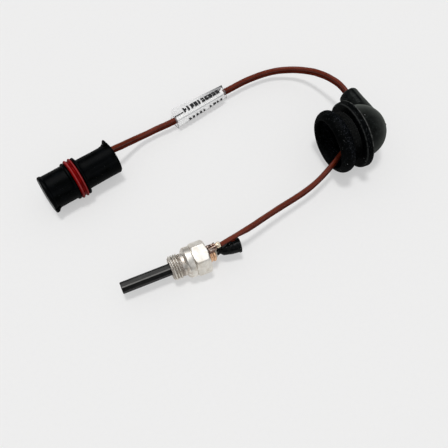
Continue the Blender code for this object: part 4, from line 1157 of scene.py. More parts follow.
def build_plug():
    nose = [(X_FRONT - 0.1, 3.0), (X_FRONT - 0.1, 4.2), (X_FRONT, THREAD_END_R)]
    profile = rounded(nose, 0.05)
    profile += [
        (X_FRONT + THREAD_STEP * k, 4.3) for k in range(1, int(THREAD_TURNS / THREAD_STEP))
    ]
    # Neck, collar and spigot, then back along the bore
    body = [
        (X_THREAD, THREAD_END_R), (X_THREAD + 0.2, 4.3), (X_THREAD + 0.35, NECK_R),
        (X_NECK, NECK_R), (X_NECK, COLLAR_R - 0.95), (X_NECK + 0.9, COLLAR_R - 0.03),
        (X_NECK + 1.3, COLLAR_R), (X_COLLAR - 0.35, COLLAR_R),
        (X_COLLAR + 0.05, COLLAR_R - 0.35), (X_COLLAR + 0.3, 5.3),
        (-0.3, 5.3), (-0.3, SPIGOT_R),
        (SPIGOT_LENGTH - 0.2, SPIGOT_R), (SPIGOT_LENGTH, SPIGOT_R - 0.2), (SPIGOT_LENGTH, 1.72),
        (X_COLLAR + 1.6, 1.72), (X_COLLAR + 1.0, 2.66),
        (X_FRONT + 0.35, 2.66), (X_FRONT - 0.1, 3.0),
    ]
    profile += rounded(body, 0.09)[:-1]
    solid = lathe(profile, PLUG, 120, closed=True, shape=thread_shape)

    # At radius 20 the hexagon's shape alone sets the outline
    profile = [(X_COLLAR, 5.0), (X_COLLAR, 5.75)]
    profile += [(X_COLLAR + station, 20.0) for station in HEX_STATIONS]
    profile += [
        (0.0, 5.75), (0.0, 5.0), (0.0, 2.8), (-0.4, 2.8), (-0.5, 4.6), (X_COLLAR + 0.5, 4.6),
    ]
    angles = polygon_angles(6, HEX_ROLL_DEG, HEX_OFFSETS)
    lathe(profile, PLUG, closed=True, shape=hexagon_shape, angles=angles, solid=solid)
    obj = finish("plug_shell", solid, STEEL, 32)
    place(obj, "probe", "nickel_plated_steel", "plug_body")


def rod_shape(x, angle, radius):
    """Octagon with trimmed corners and slight wear on its sides."""
    corner = ROD_AF / 2 / math.cos(math.radians(22.5))
    flat = min(polygon_radius(angle, ROD_AF, 8, ROD_TURN_DEG), corner - 0.045)
    spot = Vector((x * 0.7, math.cos(angle) * 2.0, math.sin(angle) * 2.0))
    wear = 0.012 * noise.noise(spot)
    return min(radius, flat) + (wear if radius > 5 else 0.0)


def build_rod():
    front = X_FRONT - 0.12
    tip = front - ROD_OUT
    # A radius of 9 leaves the outline to the octagon
    profile = [
        (tip, 0.0), (tip, 0.5), (tip, 1.0), (tip, 1.6), (tip, 1.95),
        (tip + 0.04, 2.08), (tip + 0.12, 2.2), (tip + 0.24, 9.0),
    ]
    count = int((ROD_OUT + ROD_IN - 1.0) / 0.5)
    profile += [(tip + 0.5 + 0.5 * k, 9.0) for k in range(count)]
    profile += [(front + ROD_IN, 9.0), (front + ROD_IN, 0.0)]
    angles = polygon_angles(8, ROD_TURN_DEG, ROD_OFFSETS)
    obj = finish("rod_bar", lathe(profile, PLUG, shape=rod_shape, angles=angles), CERAMIC, 24)
    place(obj, "probe", "dark_ceramic", "ceramic_rod")


# ---------------------------------------------------------------- band, crimp and boot


def build_band():
    profile = [
        (BAND_X0, SPIGOT_R + 0.04), (BAND_X0, BAND_R - 0.12),
        (BAND_X0 + 0.3, BAND_R + 0.1), (BAND_X0 + 0.72, BAND_R + 0.04),
        (BAND_X0 + 1.0, BAND_R - 0.24), (BAND_X0 + 1.4, BAND_R - 0.24),
        (BAND_X0 + 1.7, BAND_R + 0.12), (BAND_X0 + 2.2, BAND_R + 0.06),
        (BAND_X1, BAND_R - 0.14), (BAND_X1, SPIGOT_R + 0.04),
    ]
    profile = rounded(profile, 0.16, 4, closed=True)
    solid = lathe(profile, PLUG, 96, closed=True, shape=wobble(0.07, 1.4, 5.0))
    place(finish("band_ring", solid, COPPER, 50), "probe", "copper_alloy", "earth_band")


CRIMP_FRAME = frame_of((0.0, LEAD_START[1], CRIMP_Z), CRIMP_TURN_DEG)
# x, half width, half height, depth of the middle fold, depth of the two slots
CRIMP_STATIONS = (
    (CRIMP_X0, 1.3, 1.08, 0.3, 0.05),
    (CRIMP_X0 + 0.08, 1.5, 1.24, 0.4, 0.08),
    (CRIMP_X0 + 0.25, 1.56, 1.3, 0.5, 0.12),
    (CRIMP_X0 + 0.5, 1.5, 1.25, 0.7, 0.28),
    (CRIMP_X0 + 0.9, 1.42, 1.16, 0.8, 0.34),
    (CRIMP_X0 + 1.6, 1.4, 1.14, 0.82, 0.34),
    (CRIMP_X0 + 2.3, 1.42, 1.16, 0.8, 0.34),
    (CRIMP_X0 + 2.7, 1.5, 1.25, 0.7, 0.26),
    (CRIMP_X0 + 2.95, 1.55, 1.3, 0.5, 0.12),
    (CRIMP_X1 - 0.08, 1.5, 1.24, 0.4, 0.06),
    (CRIMP_X1, 1.3, 1.08, 0.3, 0.03),
)
# x, radius, depth of the gap on top
GRIP_STATIONS = (
    (CRIMP_X1 - 0.3, 0.86, 0.0),
    (CRIMP_X1 + 0.15, 0.8, 0.0),
    (CRIMP_X1 + 0.4, 1.0, 0.06),
    (CRIMP_X1 + 0.62, GRIP_R - 0.02, 0.12),
    (CRIMP_X1 + 1.1, GRIP_R, 0.14),
    (GRIP_X1 - 0.35, GRIP_R - 0.02, 0.14),
    (GRIP_X1 - 0.08, GRIP_R - 0.04, 0.12),
    (GRIP_X1, GRIP_R - 0.14, 0.08),
)


def crimp_ring(x, width, height, fold, slot, count=56, power=3.4):
    """A rounded box with a fold and two slots in its top."""
    ring = []
    for k in range(count):
        angle = 2 * math.pi * k / count
        cosine, sine = math.cos(angle), math.sin(angle)
        reach = (abs(cosine) ** power + abs(sine) ** power) ** (-1.0 / power)
        y, z = width * reach * cosine, height * reach * sine
        if z > 0:
            z -= fold * swell(y, 0.2) * (z / height)
            z -= slot * swell(abs(y) - 0.86, 0.13) * (z / height)
        ring.append(CRIMP_FRAME @ Vector((x, y, z)))
    return ring


def build_crimp_barrel():
    solid = skin([crimp_ring(*station) for station in CRIMP_STATIONS])
    # Tongue between the crimp and the band: x, half width at its top
    tongue = []
    for x, half in (
        (BAND_X0 + 0.25, 0.9), (BAND_X0 + 0.4, 1.1), (BAND_X1 - 0.35, 1.1), (BAND_X1 - 0.2, 0.9),
    ):
        outline = [(-half - 0.25, 3.05), (half + 0.25, 3.05), (half, 4.2), (-half, 4.2)]
        outline = rounded(outline, 0.12, 2, closed=True)
        tongue.append([PLUG @ Vector((x, y + LEAD_START[1] * 0.6, z)) for y, z in outline])
    skin(tongue, solid)
    obj = finish("crimp_barrel", solid, CRIMP, 38)
    place(obj, "probe", "bright_nickel", "earth_crimp")


def build_crimp_grip():
    """Wings rolled round the wire with a gap on top, behind a length of bare strands."""
    rings = []
    for x, radius, gap in GRIP_STATIONS:
        ring = []
        for k in range(48):
            angle = 2 * math.pi * k / 48
            up = math.sin(angle)
            notch = gap * 1.6 * swell(math.cos(angle), 0.16) if up > 0 else 0.0
            strands = 0.035 * math.sin(angle * 9 + x * 1.5) if x < CRIMP_X1 + 0.3 else 0.0
            reach = radius + strands - notch
            ring.append(CRIMP_FRAME @ Vector((x, reach * math.cos(angle), reach * up)))
        rings.append(ring)
    place(finish("crimp_grip", skin(rings), GRIP, 38), "probe", "bright_nickel")


def live_path():
    """The second wire's way from inside the boot until it lies under the first."""
    end = FLEX_AT[0] - 0.6
    start = BOOT @ Vector((5.1, 0.0, 0.0))
    inner = BOOT @ Vector((5.5, 0.0, 0.0))
    over = BOOT @ Vector((BOOT_LONG - 1.6, 2.75, 2.35))
    under = lead_point(end, -WIRE_STEP)
    toward = under - lead_point(end - 1.0, -WIRE_STEP)
    toward.normalize()
    boot_along = BOOT.to_3x3() @ Vector((1, 0, 0))
    first = hermite(inner, boot_along * 3.0, over, Vector((3.6, 1.6, 1.2)), 16)
    second = hermite(over, Vector((5.2, 1.6, 0.9)), under, toward * 5.4, 12)
    return [start] + first + second[1:]


def build_boot():
    end = BOOT_LONG
    profile = [
        (end, 0.0), (end, 2.62), (end - 0.15, 2.95), (end - 0.75, 3.02),
        (end - 1.15, 2.74), (end - 2.6, 2.66), (3.9, 2.5), (2.4, 2.1),
        (1.6, 1.48), (1.15, 1.34), (0.85, 1.6), (0.35, 1.7), (0.0, 1.5), (0.0, 1.12),
        (1.6, 1.15), (2.4, 1.7), (3.6, 2.1), (end - 0.9, 2.3), (end - 0.9, 0.0),
    ]
    profile = densify(rounded(profile, 0.28, 4), 0.45)
    lumpy = wobble(0.22, 2.3, 2.0)

    def shape(x, angle, radius):
        if radius < 1.3:
            return radius
        crease = 0.1 * swell(x - 5.4, 0.35) + 0.07 * swell(x - 6.9, 0.3)
        return lumpy(x, angle, radius) - crease * (0.6 + 0.4 * math.cos(angle - 1.0))

    boot = finish("boot_cap", lathe(profile, BOOT, 72, shape=shape), BOOT_RUBBER, 50)
    # Hole where the wire leaves
    cut(boot, finish("boot_way", skin(tube_rings(live_path()[1:], WIRE_R + 0.14, 20))))
    place(boot, "probe", "boot_rubber", "splice_boot")


# ---------------------------------------------------------------- the lead

WIRE_SPACING = 0.8
NODE_ENDS = ("probe", "lower", "elbow", "loop", "marker_run")
# Where each of the five lengths of a wire ends
LENGTH_ENDS = (30.5, 75.0, 118.7, MARKER_AT, LEAD_LENGTH - 0.5)


def pin_frame(sign):
    """Frame of the upper (+1) or the lower (-1) contact."""
    return CONNECTOR @ Matrix.Translation(Vector((0.0, 0.0, sign * PIN_STEP)))


def build_wire(wire, sign, start, head, look):
    """One wire as five lengths, each of which crosses one of the flexing places."""

    def at(distance):
        gather = ease(distance / BUNDLE_FROM) if sign > 0 else 1.0
        return lead_point(distance, sign * WIRE_STEP * gather)

    for k, end in enumerate(LENGTH_ENDS):
        first, last = k == 0, k == 4
        count = round((end - start) / WIRE_SPACING)
        points = [at(start + (end - start) * i / count) for i in range(count + 1)]
        if first:
            points = head + points
        if last:
            # Bend from the lead's line into the contact
            ahead = points[-1] - at(end - WIRE_SPACING)
            ahead.normalize()
            inward = -(CONNECTOR.to_3x3() @ Vector((1.0, 0.0, 0.0)))
            contact = pin_frame(sign) @ Vector((23.4, 0.0, 0.0))
            points += hermite(points[-1], ahead * 4.0, contact, inward * 7.0, 14)[1:]
        before = None if first else at(start - WIRE_SPACING)
        after = None if last else at(end + WIRE_SPACING)
        rings = tube_rings(points, WIRE_R, 24, sign * 4.0, (first, last), before, after)
        obj = finish(f"jacket_{wire}_{k + 1}", skin(rings), look, 60)
        centre = lead_point(FLEX_AT[k]) + SHIFT
        way = along(lead_plan(FLEX_AT[k])[2])
        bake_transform(obj)
        nodes = [f"wire_{wire}_{NODE_ENDS[k]}"]
        if last:
            nodes.append(f"wire_{wire}_connector")
        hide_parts(*nodes)
        start = end


def build_leads():
    build_wire("earth", 1, -0.4, [], EARTH_WIRE)
    head = live_path()[:-1]
    build_wire("live", -1, FLEX_AT[0] - 0.6, head, LIVE_WIRE)


# ---------------------------------------------------------------- the grommet

GROMMET_LUMPS = wobble(0.12, 5.0, 7.0)
RIDGES, RIDGES_X0, RIDGES_X1 = 7, 3.1, 6.4


def bell_profile():
    """One closed wall: from the inner pole to the mouth, round the lip, back over the dome."""
    hollow = DOME_R - DOME_WALL
    inner = [(DOME_BACK + hollow * math.sin(math.radians(90)), 0.0)]
    for k in range(1, 13):
        angle = math.radians(90 - 90 * k / 12)
        inner.append((DOME_BACK + hollow * math.sin(angle), hollow * math.cos(angle)))
    inner += [(8.0, 8.4), (3.0, 8.7), (0.5, 9.1), (-2.0, 9.55)]

    lip = [
        (-2.6, 9.85), (-3.25, 10.15), (-3.3, 10.7), (-2.8, 11.6), (-1.9, 12.5), (-0.7, 13.15),
        (0.6, LIP_R), (1.7, 13.0), (2.4, 12.2), (2.75, 11.3), (3.0, 10.55),
    ]
    outer = rounded(lip, 0.5)
    step = (RIDGES_X1 - RIDGES_X0) / RIDGES
    for k in range(RIDGES):
        for share, radius in ((0.15, 10.38), (0.42, 10.66), (0.62, 10.66), (0.9, 10.38)):
            outer.append((RIDGES_X0 + step * (k + share), radius))
    flange = [
        (6.5, 10.4), (6.6, 10.75), (6.62, 13.55), (6.85, 13.98),
        (7.5, FLANGE_R - 0.08), (8.6, FLANGE_R - 0.02), (9.15, FLANGE_R + 0.06),
        (9.45, FLANGE_R), (9.55, FLANGE_R - 0.4),
        (9.75, 12.7), (10.05, 11.7), (11.0, DOME_R + 0.1),
    ]
    outer += rounded(flange, 0.22)
    for k in range(1, 22):
        angle = math.radians(90 * k / 22)
        outer.append((DOME_BACK + DOME_R * math.sin(angle), DOME_R * math.cos(angle)))
    outer.append((DOME_BACK + DOME_R, 0.0))
    return densify(inner + outer, 0.8)


def bell_shape(x, angle, radius):
    """Lumpy all over but least round the ridges, with a lip that sags out of round."""
    lumpy = GROMMET_LUMPS(x, angle, radius)
    if x < 3.0:
        return lumpy + 0.25 * math.sin(2 * angle + 0.6) * ease((3.0 - x) / 5.0)
    return lumpy if x > 9.6 else radius + 0.35 * (lumpy - radius)


def spout_shape(x, angle, radius):
    """A shallow dent and a low swelling run along the tube's upper side."""
    if radius < 3.0:
        return radius
    start, end = ease((x - 8.5) / 2.0), ease((TUBE_REACH - 0.6 - x) / 2.0)
    dent = 0.28 * swell(angle - math.radians(68), 0.2) * start * end
    rise = 0.1 * swell(angle - math.radians(100), 0.2) * start
    return GROMMET_LUMPS(x, angle, radius) - dent + rise


def build_spout():
    profile = [
        (0.0, 0.0), (0.0, TUBE_R + 0.5), (9.0, TUBE_R + 0.2), (13.0, TUBE_R),
        (TUBE_REACH - 1.8, TUBE_R - 0.02), (TUBE_REACH - 1.05, TUBE_R - 0.2),
        (TUBE_REACH - 0.8, TUBE_R - 0.75), (TUBE_REACH - 0.8, 0.0),
    ]
    profile = densify(rounded(profile, 0.4, 4), 0.5)
    return finish("grommet_spout", lathe(profile, TUBE, 96, shape=spout_shape), RUBBER, 55)


def build_bore():
    profile = [
        (1.5, 0.0), (1.5, TUBE_BORE_R), (TUBE_REACH - 0.7, TUBE_BORE_R),
        (TUBE_REACH + 0.1, TUBE_BORE_R + 0.35), (TUBE_REACH + 0.8, TUBE_BORE_R + 0.4),
        (TUBE_REACH + 0.8, 0.0),
    ]
    profile = densify(rounded(profile, 0.3), 1.0)
    return finish("grommet_bore", lathe(profile, TUBE, 64), RUBBER)


def build_nub():
    """Small nub on the dome, 28 degrees from its pole."""
    along_axis = DOME_R * math.cos(math.radians(28))
    aside = DOME_R * math.sin(math.radians(28))
    spot = BELL @ Vector((DOME_BACK + along_axis, aside * -0.72, aside * 0.69))
    centre = BELL @ Vector((DOME_BACK, 0.0, 0.0))
    outward = (spot - centre).normalized()
    turn = outward.to_track_quat("Z", "Y").to_matrix().to_4x4()
    move = Matrix.Translation(centre + outward * (DOME_R - 0.2))
    squash = Matrix.Diagonal((1.0, 1.3, 0.7, 1.0))
    solid = bmesh.new()
    bmesh.ops.create_uvsphere(solid, u_segments=20, v_segments=12, radius=0.5)
    bmesh.ops.transform(solid, matrix=move @ turn @ squash, verts=solid.verts)
    return finish("grommet_nub", solid, RUBBER)


def build_grommet():
    body = finish("grommet_bell", lathe(bell_profile(), BELL, 144, shape=bell_shape), RUBBER, 55)
    cut(body, build_spout(), "UNION")
    cut(body, build_bore())
    cut(body, build_nub(), "UNION")
    place(body, "grommet", "grommet_rubber", "grommet")


# ---------------------------------------------------------------- the marker

# The marker's frame has X along the lead and +Y on its near side
MARKER = frame_of(MARKER_SPOT, MARKER_HEADING) @ Matrix.Rotation(
    math.radians(-MARKER_ROLL_DEG), 4, "X"
)
MARKER_HALF = MARKER_LENGTH / 2
SLEEVE_WALL = 0.26
STRIP_HALF, STRIP_FAR = 12.5, -1.32


def marker_outline(inset):
    """The sleeve's whole section as (y, z), drawn in by the inset."""
    across = 1.0 - inset / MARKER_SECTION[-1][0]
    up = 1.0 - inset / MARKER_SECTION[0][1]
    quarter = [(y * across, z * up) for y, z in MARKER_SECTION]
    back = quarter[-2::-1]
    return (
        quarter
        + [(y, -z) for y, z in back]
        + [(-y, -z) for y, z in quarter]
        + [(-y, z) for y, z in back]
    )


def marker_top(inset, corner, step):
    """The section's upper half, from its far side to its near side."""
    points = sorted(point for point in marker_outline(inset) if point[1] > 0.1)
    return densify(rounded(points, corner), step)


def far_share(y):
    return ease((-y - 1.6) / 2.5)


def flare(x, y):
    """The sleeve narrows toward -X, and its far side widens a little toward +X."""
    run = x / MARKER_HALF
    return y * (1.0 + far_share(y) * (0.1 + 0.12 * run)) * (0.89 + 0.11 * run)


def trim(x):
    """How far the far edge is cut back at each end; it sticks out at the -X end."""
    if x > MARKER_HALF - 0.01:
        return 2.0
    if x > MARKER_HALF - 1.6:
        return 1.0
    if x > MARKER_HALF - 3.0:
        return 0.3
    return -1.0 if x < -MARKER_HALF + 0.01 else 0.0


def sleeve_ring(x, inset):
    return [
        MARKER @ Vector((x - math.copysign(1.0, x) * (far_share(y) * trim(x)), flare(x, y), z))
        for y, z in rounded(marker_outline(inset), 0.28, closed=True)
    ]


def build_sleeve():
    stations = [x for x, _ in densify([(-MARKER_HALF, 0.0), (MARKER_HALF, 0.0)], 1.4)]
    rings = [sleeve_ring(x, 0.0) for x in stations]
    rings += [sleeve_ring(x, SLEEVE_WALL) for x in reversed(stations)]
    obj = finish("sleeve_tube", skin(rings, closed=True), SLEEVE, 45)
    place(obj, "marker", "clear_sleeve", "marker_sleeve")


def build_strip():
    """Printed strip under the sleeve's top and near side."""
    upper = [p for p in marker_top(0.40, 0.3, 0.2) if STRIP_FAR <= p[0] <= 3.45]
    lower = [p for p in marker_top(0.47, 0.3, 0.2) if STRIP_FAR <= p[0] <= 3.4]
    outline = upper + lower[::-1]
    rings = [
        [MARKER @ Vector((x, flare(x, y), z)) for y, z in outline]
        for x, _ in densify([(-STRIP_HALF, 0.0), (STRIP_HALF, 0.0)], 1.0)
    ]
    obj = finish("strip_label", skin(rings), PAPER, 45)
    place(obj, "marker", "paper_strip", "marker_strip")


# Bars of each kind of mark, as shares: start and end along it, start and end across it
MARK_BARS = (
    ((0.0, 0.62, 0.0, 1.0), (0.6, 1.15, 0.3, 0.72)),
    ((0.1, 0.8, 0.0, 1.0),),
    ((0.0, 1.2, 0.0, 0.46), (0.0, 1.2, 0.56, 1.0)),
    ((0.0, 0.6, 0.05, 1.0), (0.6, 1.25, 0.0, 0.82)),
    ((0.0, 1.25, 0.0, 1.0),),
    ((0.0, 0.65, 0.0, 1.0), (0.64, 1.25, 0.55, 1.0), (0.64, 1.25, 0.0, 0.42)),
)
FAR_MARKS = (0, 1, 3, 4, 1, 2, 5, 4, 2, 5)
FAR_ROW, FAR_X, FAR_PITCH, FAR_WIDTH = (-3.05, -0.45), 7.9, 1.9, 1.34
NEAR_X, NEAR_PITCH, NEAR_GAP = 7.3, 1.95, 1.5
NEAR_WIDTHS = (1.3, 1.0, 1.35, 1.1, 0.9)


def build_marks():
    """Plain printed blocks in two rows: along the top's far edge and low on the near side."""
    surface = marker_top(-0.02, 0.28, 0.08)
    # Distance of each point over the surface, from the section's middle toward the near side
    runs = [0.0]
    for point, after in zip(surface, surface[1:]):
        runs.append(runs[-1] + (Vector(after) - Vector(point)).length)
    zero = min(range(len(surface)), key=lambda i: abs(surface[i][0]))
    middle = runs[zero]
    runs = [run - middle for run in runs]

    def on_surface(run):
        i = next(i for i in range(len(runs) - 1) if run <= runs[i + 1])
        share = (run - runs[i]) / (runs[i + 1] - runs[i])
        return Vector(surface[i]).lerp(Vector(surface[i + 1]), share)

    solid = bmesh.new()

    def block(start, end, far, near, slant=0.0):
        """Thin plate between two x and two distances over the surface."""
        steps = max(1, math.ceil(abs(near - far) / 0.2))
        rings = []
        for i in range(steps + 1):
            share = i / steps
            point = on_surface(far + (near - far) * share)
            shift = slant * (share - 0.5)
            rings.append([
                MARKER @ Vector((x + shift, flare(x, point.x), point.y + lift))
                for x, lift in ((start, 0.03), (end, 0.03), (end, 0.01), (start, 0.01))
            ])
        skin(rings, solid)

    x = FAR_X
    far, near = FAR_ROW
    row = near - far
    for kind in FAR_MARKS:
        for start, end, low, high in MARK_BARS[kind]:
            left, right = x - start * FAR_WIDTH, x - end * FAR_WIDTH
            block(left, right, far + row * low, far + row * high, 0.12)
        x -= FAR_PITCH
    # One long bar at the +X end
    block(12.9, 8.4, -1.15, -0.74)
    x = NEAR_X
    for k in range(10):
        if k == 5:
            x -= NEAR_GAP
            continue
        wide = NEAR_WIDTHS[k % 5]
        block(x, x - wide * 1.1, 3.6, 4.24, 0.1)
        block(x, x - wide * 0.66, 3.0, 3.62, -0.1)
        if k % 2:
            block(x - wide * 0.68, x - wide * 1.1, 3.1, 3.62)
        x -= NEAR_PITCH
    place(finish("strip_marks", solid, INK, None), "marker", "paper_strip")


# ---------------------------------------------------------------- the connector

# Outer wall from the mouth to the rear, then back along the inside: x, radius
HOUSING_PROFILE = (
    (1.0, 6.02), (0.55, 6.25), (0.02, 7.02), (0.0, 7.25), (0.25, CONN_RIM_R - 0.08),
    (0.8, CONN_RIM_R), (1.35, CONN_RIM_R - 0.1), (1.7, CONN_FRONT_R + 0.02),
    (5.8, CONN_FRONT_R - 0.02), (10.45, CONN_FRONT_R), (10.7, 7.85), (10.95, 8.0),
    (11.6, 8.0), (11.8, 7.8), (11.85, GROOVE_R), (15.35, GROOVE_R), (15.4, 7.95),
    (15.6, 8.15), (16.25, 8.1), (16.5, 7.8), (16.62, CONN_REAR_R + 0.02),
    (24.0, CONN_REAR_R - 0.05), (CONN_LENGTH - 0.6, CONN_REAR_R),
    (CONN_LENGTH, CONN_REAR_R - 0.45), (CONN_LENGTH, 5.55),
    (23.0, 5.5), (23.0, 4.9), (21.3, 4.9), (21.3, 5.92),
)
# Sections of two lumps on the housing: x, radius, share of the lump's rise added to it
LIP_SECTION = (
    (CONN_LENGTH - 4.6, CONN_REAR_R - 0.5, 0.0),
    (CONN_LENGTH - 4.6, CONN_REAR_R - 0.05, 0.0),
    (CONN_LENGTH - 2.8, CONN_REAR_R, 0.25),
    (CONN_LENGTH - 1.7, CONN_REAR_R, 0.95),
    (CONN_LENGTH - 1.05, CONN_REAR_R, 2.0),
    (CONN_LENGTH - 0.6, CONN_REAR_R, 2.05),
    (CONN_LENGTH - 0.2, CONN_REAR_R, 0.6),
    (CONN_LENGTH - 0.1, CONN_REAR_R - 0.5, 0.0),
)
LUG_SECTION = (
    (0.12, CONN_FRONT_R - 0.5, 0.0),
    (0.18, CONN_RIM_R, 0.55),
    (0.5, CONN_RIM_R, 0.85),
    (1.4, CONN_RIM_R, 0.8),
    (2.3, CONN_FRONT_R + 0.3, 0.0),
    (3.1, CONN_FRONT_R - 0.15, 0.0),
    (3.1, CONN_FRONT_R - 0.5, 0.0),
)
MOUTH_RIBS_DEG, FLUTES_DEG = (35.0, 150.0, 215.0, 330.0), (-38.0, 128.0, 218.0)
HOUSING_LUMPS = wobble(0.035, 6.0, 13.0)


def stripes(angle, centres, width):
    """1 on the stripes at the given angles in degrees, and 0 between them."""
    gaps = [(math.degrees(angle) - centre + 180.0) % 360.0 - 180.0 for centre in centres]
    return sum(swell(gap, width, 4) for gap in gaps)


def housing_shape(x, angle, radius):
    """Four ribs stand inside the mouth, and three shallow flutes run along the rear barrel."""
    reach = HOUSING_LUMPS(x, angle, radius)
    if x < 9.2 and 5.9 < radius < 6.15:
        reach -= 0.55 * stripes(angle, MOUTH_RIBS_DEG, 5.0) * ease((x - 1.4) / 0.8)
    if x > 17.5 and radius > 6.3:
        fade = ease((x - 17.8) / 1.2) * ease((CONN_LENGTH - 1.4 - x) / 1.2)
        reach -= 0.12 * stripes(angle, FLUTES_DEG, 7.0) * fade
    return reach


def housing_lump(name, section, count, start_deg, sweep_deg, margin, power, corner):
    """A lump swept round part of the housing, highest at its middle."""
    rings = []
    for k in range(count):
        share = k / (count - 1)
        angle = math.radians(start_deg + sweep_deg * share)
        rise = math.sin(math.pi * (margin + (1 - 2 * margin) * share)) ** power
        outline = [(x, radius + lift * rise) for x, radius, lift in section]
        rings.append([
            CONNECTOR @ Vector((x, radius * math.cos(angle), radius * math.sin(angle)))
            for x, radius in rounded(outline, corner, closed=True)
        ])
    return finish(name, skin(rings), NYLON)


def build_housing():
    profile = densify(rounded(HOUSING_PROFILE, 0.2, closed=True), 1.2, closed=True)
    solid = lathe(profile, CONNECTOR, 144, closed=True, shape=housing_shape)
    body = finish("housing_shell", solid, NYLON, 45)
    lip = housing_lump(
        "housing_lip", LIP_SECTION, count=25, start_deg=-10, sweep_deg=68,
        margin=0.06, power=0.8, corner=0.3,
    )
    cut(body, lip, "UNION")
    lug = housing_lump(
        "housing_lug", LUG_SECTION, count=13, start_deg=189, sweep_deg=32,
        margin=0.08, power=0.6, corner=0.2,
    )
    cut(body, lug, "UNION")
    place(body, "connector", "black_nylon", "connector_housing")


def build_seal():
    """Ring with two ridges, in the housing's groove."""
    profile = [
        (12.0, GROOVE_R + 0.05), (12.0, 7.6), (12.15, 8.05), (12.45, 8.38), (12.8, SEAL_R),
        (13.1, 8.36), (13.35, 7.95), (13.6, SEAL_VALLEY_R), (13.95, SEAL_VALLEY_R),
        (14.15, 7.95), (14.35, 8.34), (14.65, SEAL_R), (14.95, 8.34), (15.15, 7.95),
        (15.2, GROOVE_R + 0.05),
    ]
    profile = rounded(profile, 0.2, 4, closed=True)
    solid = lathe(profile, CONNECTOR, 144, closed=True, shape=wobble(0.03, 3.0, 17.0))
    place(finish("seal_band", solid, SEAL, 60), "connector", "red_silicone", "seal_ring")


def build_bung():
    """Disc in the rear with three ribs round its edge and a rounded slot for the wires."""
    profile = [(29.7, 0.0), (29.7, 4.9)]
    for k in range(3):
        for x, radius in ((29.8, 5.12), (29.95, 5.42), (30.1, 5.42), (30.22, 5.12)):
            profile.append((x + 0.45 * k, radius))
    profile += [(31.2, 5.0), (31.25, 4.6), (31.1, 4.2), (31.1, 0.0)]
    profile = densify(rounded(profile, 0.1, 2), 0.9)
    bung = finish("bung_disc", lathe(profile, CONNECTOR, 96), BUNG, 50)
    slot = CONNECTOR @ Matrix.Translation(Vector((0.0, EXIT_SIDE - 0.2, EXIT_UP - 0.35)))
    outline = []
    for side_y, side_z, begin in ((1, 1, 0), (-1, 1, 90), (-1, -1, 180), (1, -1, 270)):
        for k in range(7):
            angle = math.radians(begin + 15 * k)
            y = side_y * 0.35 + 1.1 * math.cos(angle)
            outline.append((y, side_z * 1.4 + 1.1 * math.sin(angle)))
    rings = [[slot @ Vector((x, y, z)) for y, z in outline] for x in (29.0, 33.0)]
    cut(bung, finish("bung_way", skin(rings), BUNG))
    place(bung, "connector", "bung_rubber", "rear_bung")


def build_carrier():
    """Carrier with a stepped face, a stepped hole for each contact, and the two contacts."""
    profile = [
        (9.9, 0.0), (9.9, 4.3), (9.4, 4.6), (9.4, 5.35), (9.75, 5.72), (21.2, 5.78), (21.2, 0.0),
    ]
    profile = densify(rounded(profile, 0.15), 0.9)
    carrier = finish("carrier_block", lathe(profile, CONNECTOR, 96), CARRIER, 40)
    hole = [
        (8.0, 0.0), (8.0, 1.35), (10.6, 1.25), (10.8, 0.9),
        (13.0, 0.9), (13.0, 1.28), (23.0, 1.28), (23.0, 0.0),
    ]
    pin = [
        (3.2, 0.0), (3.2, 0.3), (3.35, 0.42), (4.0, PIN_R), (9.0, PIN_R), (13.0, PIN_R),
        (13.1, 1.05), (16.5, 1.1), (16.8, 0.9), (17.4, 0.9), (17.7, 1.1), (22.2, 1.1),
        (22.2, 0.72), (19.4, 0.7), (19.4, 0.0),
    ]
    pin = densify(rounded(pin, 0.08, 2), 0.8)
    for sign, word in ((1, "earth"), (-1, "live")):
        cut(carrier, finish("way", lathe(hole, pin_frame(sign), 40), CARRIER))
        contact = finish(f"pin_{word}", lathe(pin, pin_frame(sign), 36), TIN, 40)
        place(contact, "connector", "tinned_brass", f"contact_{word}")
    place(carrier, "connector", "carrier_plastic", "contact_carrier")


build_plug()
build_rod()
build_band()
build_crimp_barrel()
build_crimp_grip()
build_boot()
build_leads()
build_grommet()
build_sleeve()
build_strip()
build_marks()
build_housing()
build_seal()
build_bung()
build_carrier()

# CAD nodes that stay in sight take their own procedural materials
for node, look in (
    ("rod_seal", BRAZE),
    ("terminal_bush", BUSH),
    ("centre_terminal", NICKEL),
    ("core_earth_front", CORE),
    ("core_live_front", CORE),
    ("core_earth_rear", CORE),
    ("core_live_rear", CORE),
    ("splice_ferrule", TIN),
):
    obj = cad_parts[node]
    obj.data.materials.clear()
    obj.data.materials.append(look)

# ---------------------------------------------------------------- floor, light and camera

FLOOR_TONE, FLOOR_GLOW = 0.42, 0.436

# Directions as the camera sees them in plan, and those toward the lights
VIEW_AZIMUTH = math.radians(-23.4)
RIGHT = Vector((math.cos(VIEW_AZIMUTH), math.sin(VIEW_AZIMUTH), 0.0))
AWAY = Vector((-math.sin(VIEW_AZIMUTH), math.cos(VIEW_AZIMUTH), 0.0))
UP = Vector((0.0, 0.0, 1.0))
KEY = (-RIGHT * 0.05 + AWAY * 0.06 + UP).normalized()
LAMP = (-RIGHT * 0.42 + AWAY * 0.3 + UP).normalized()
FILL = (RIGHT * 0.9 - AWAY * 0.5 + UP * 0.5).normalized()

CAMERA_AT = Vector((-55.8, -135.3, 233.4))
CAMERA_AIM = Vector((-6.5, -21.4, 0.0))


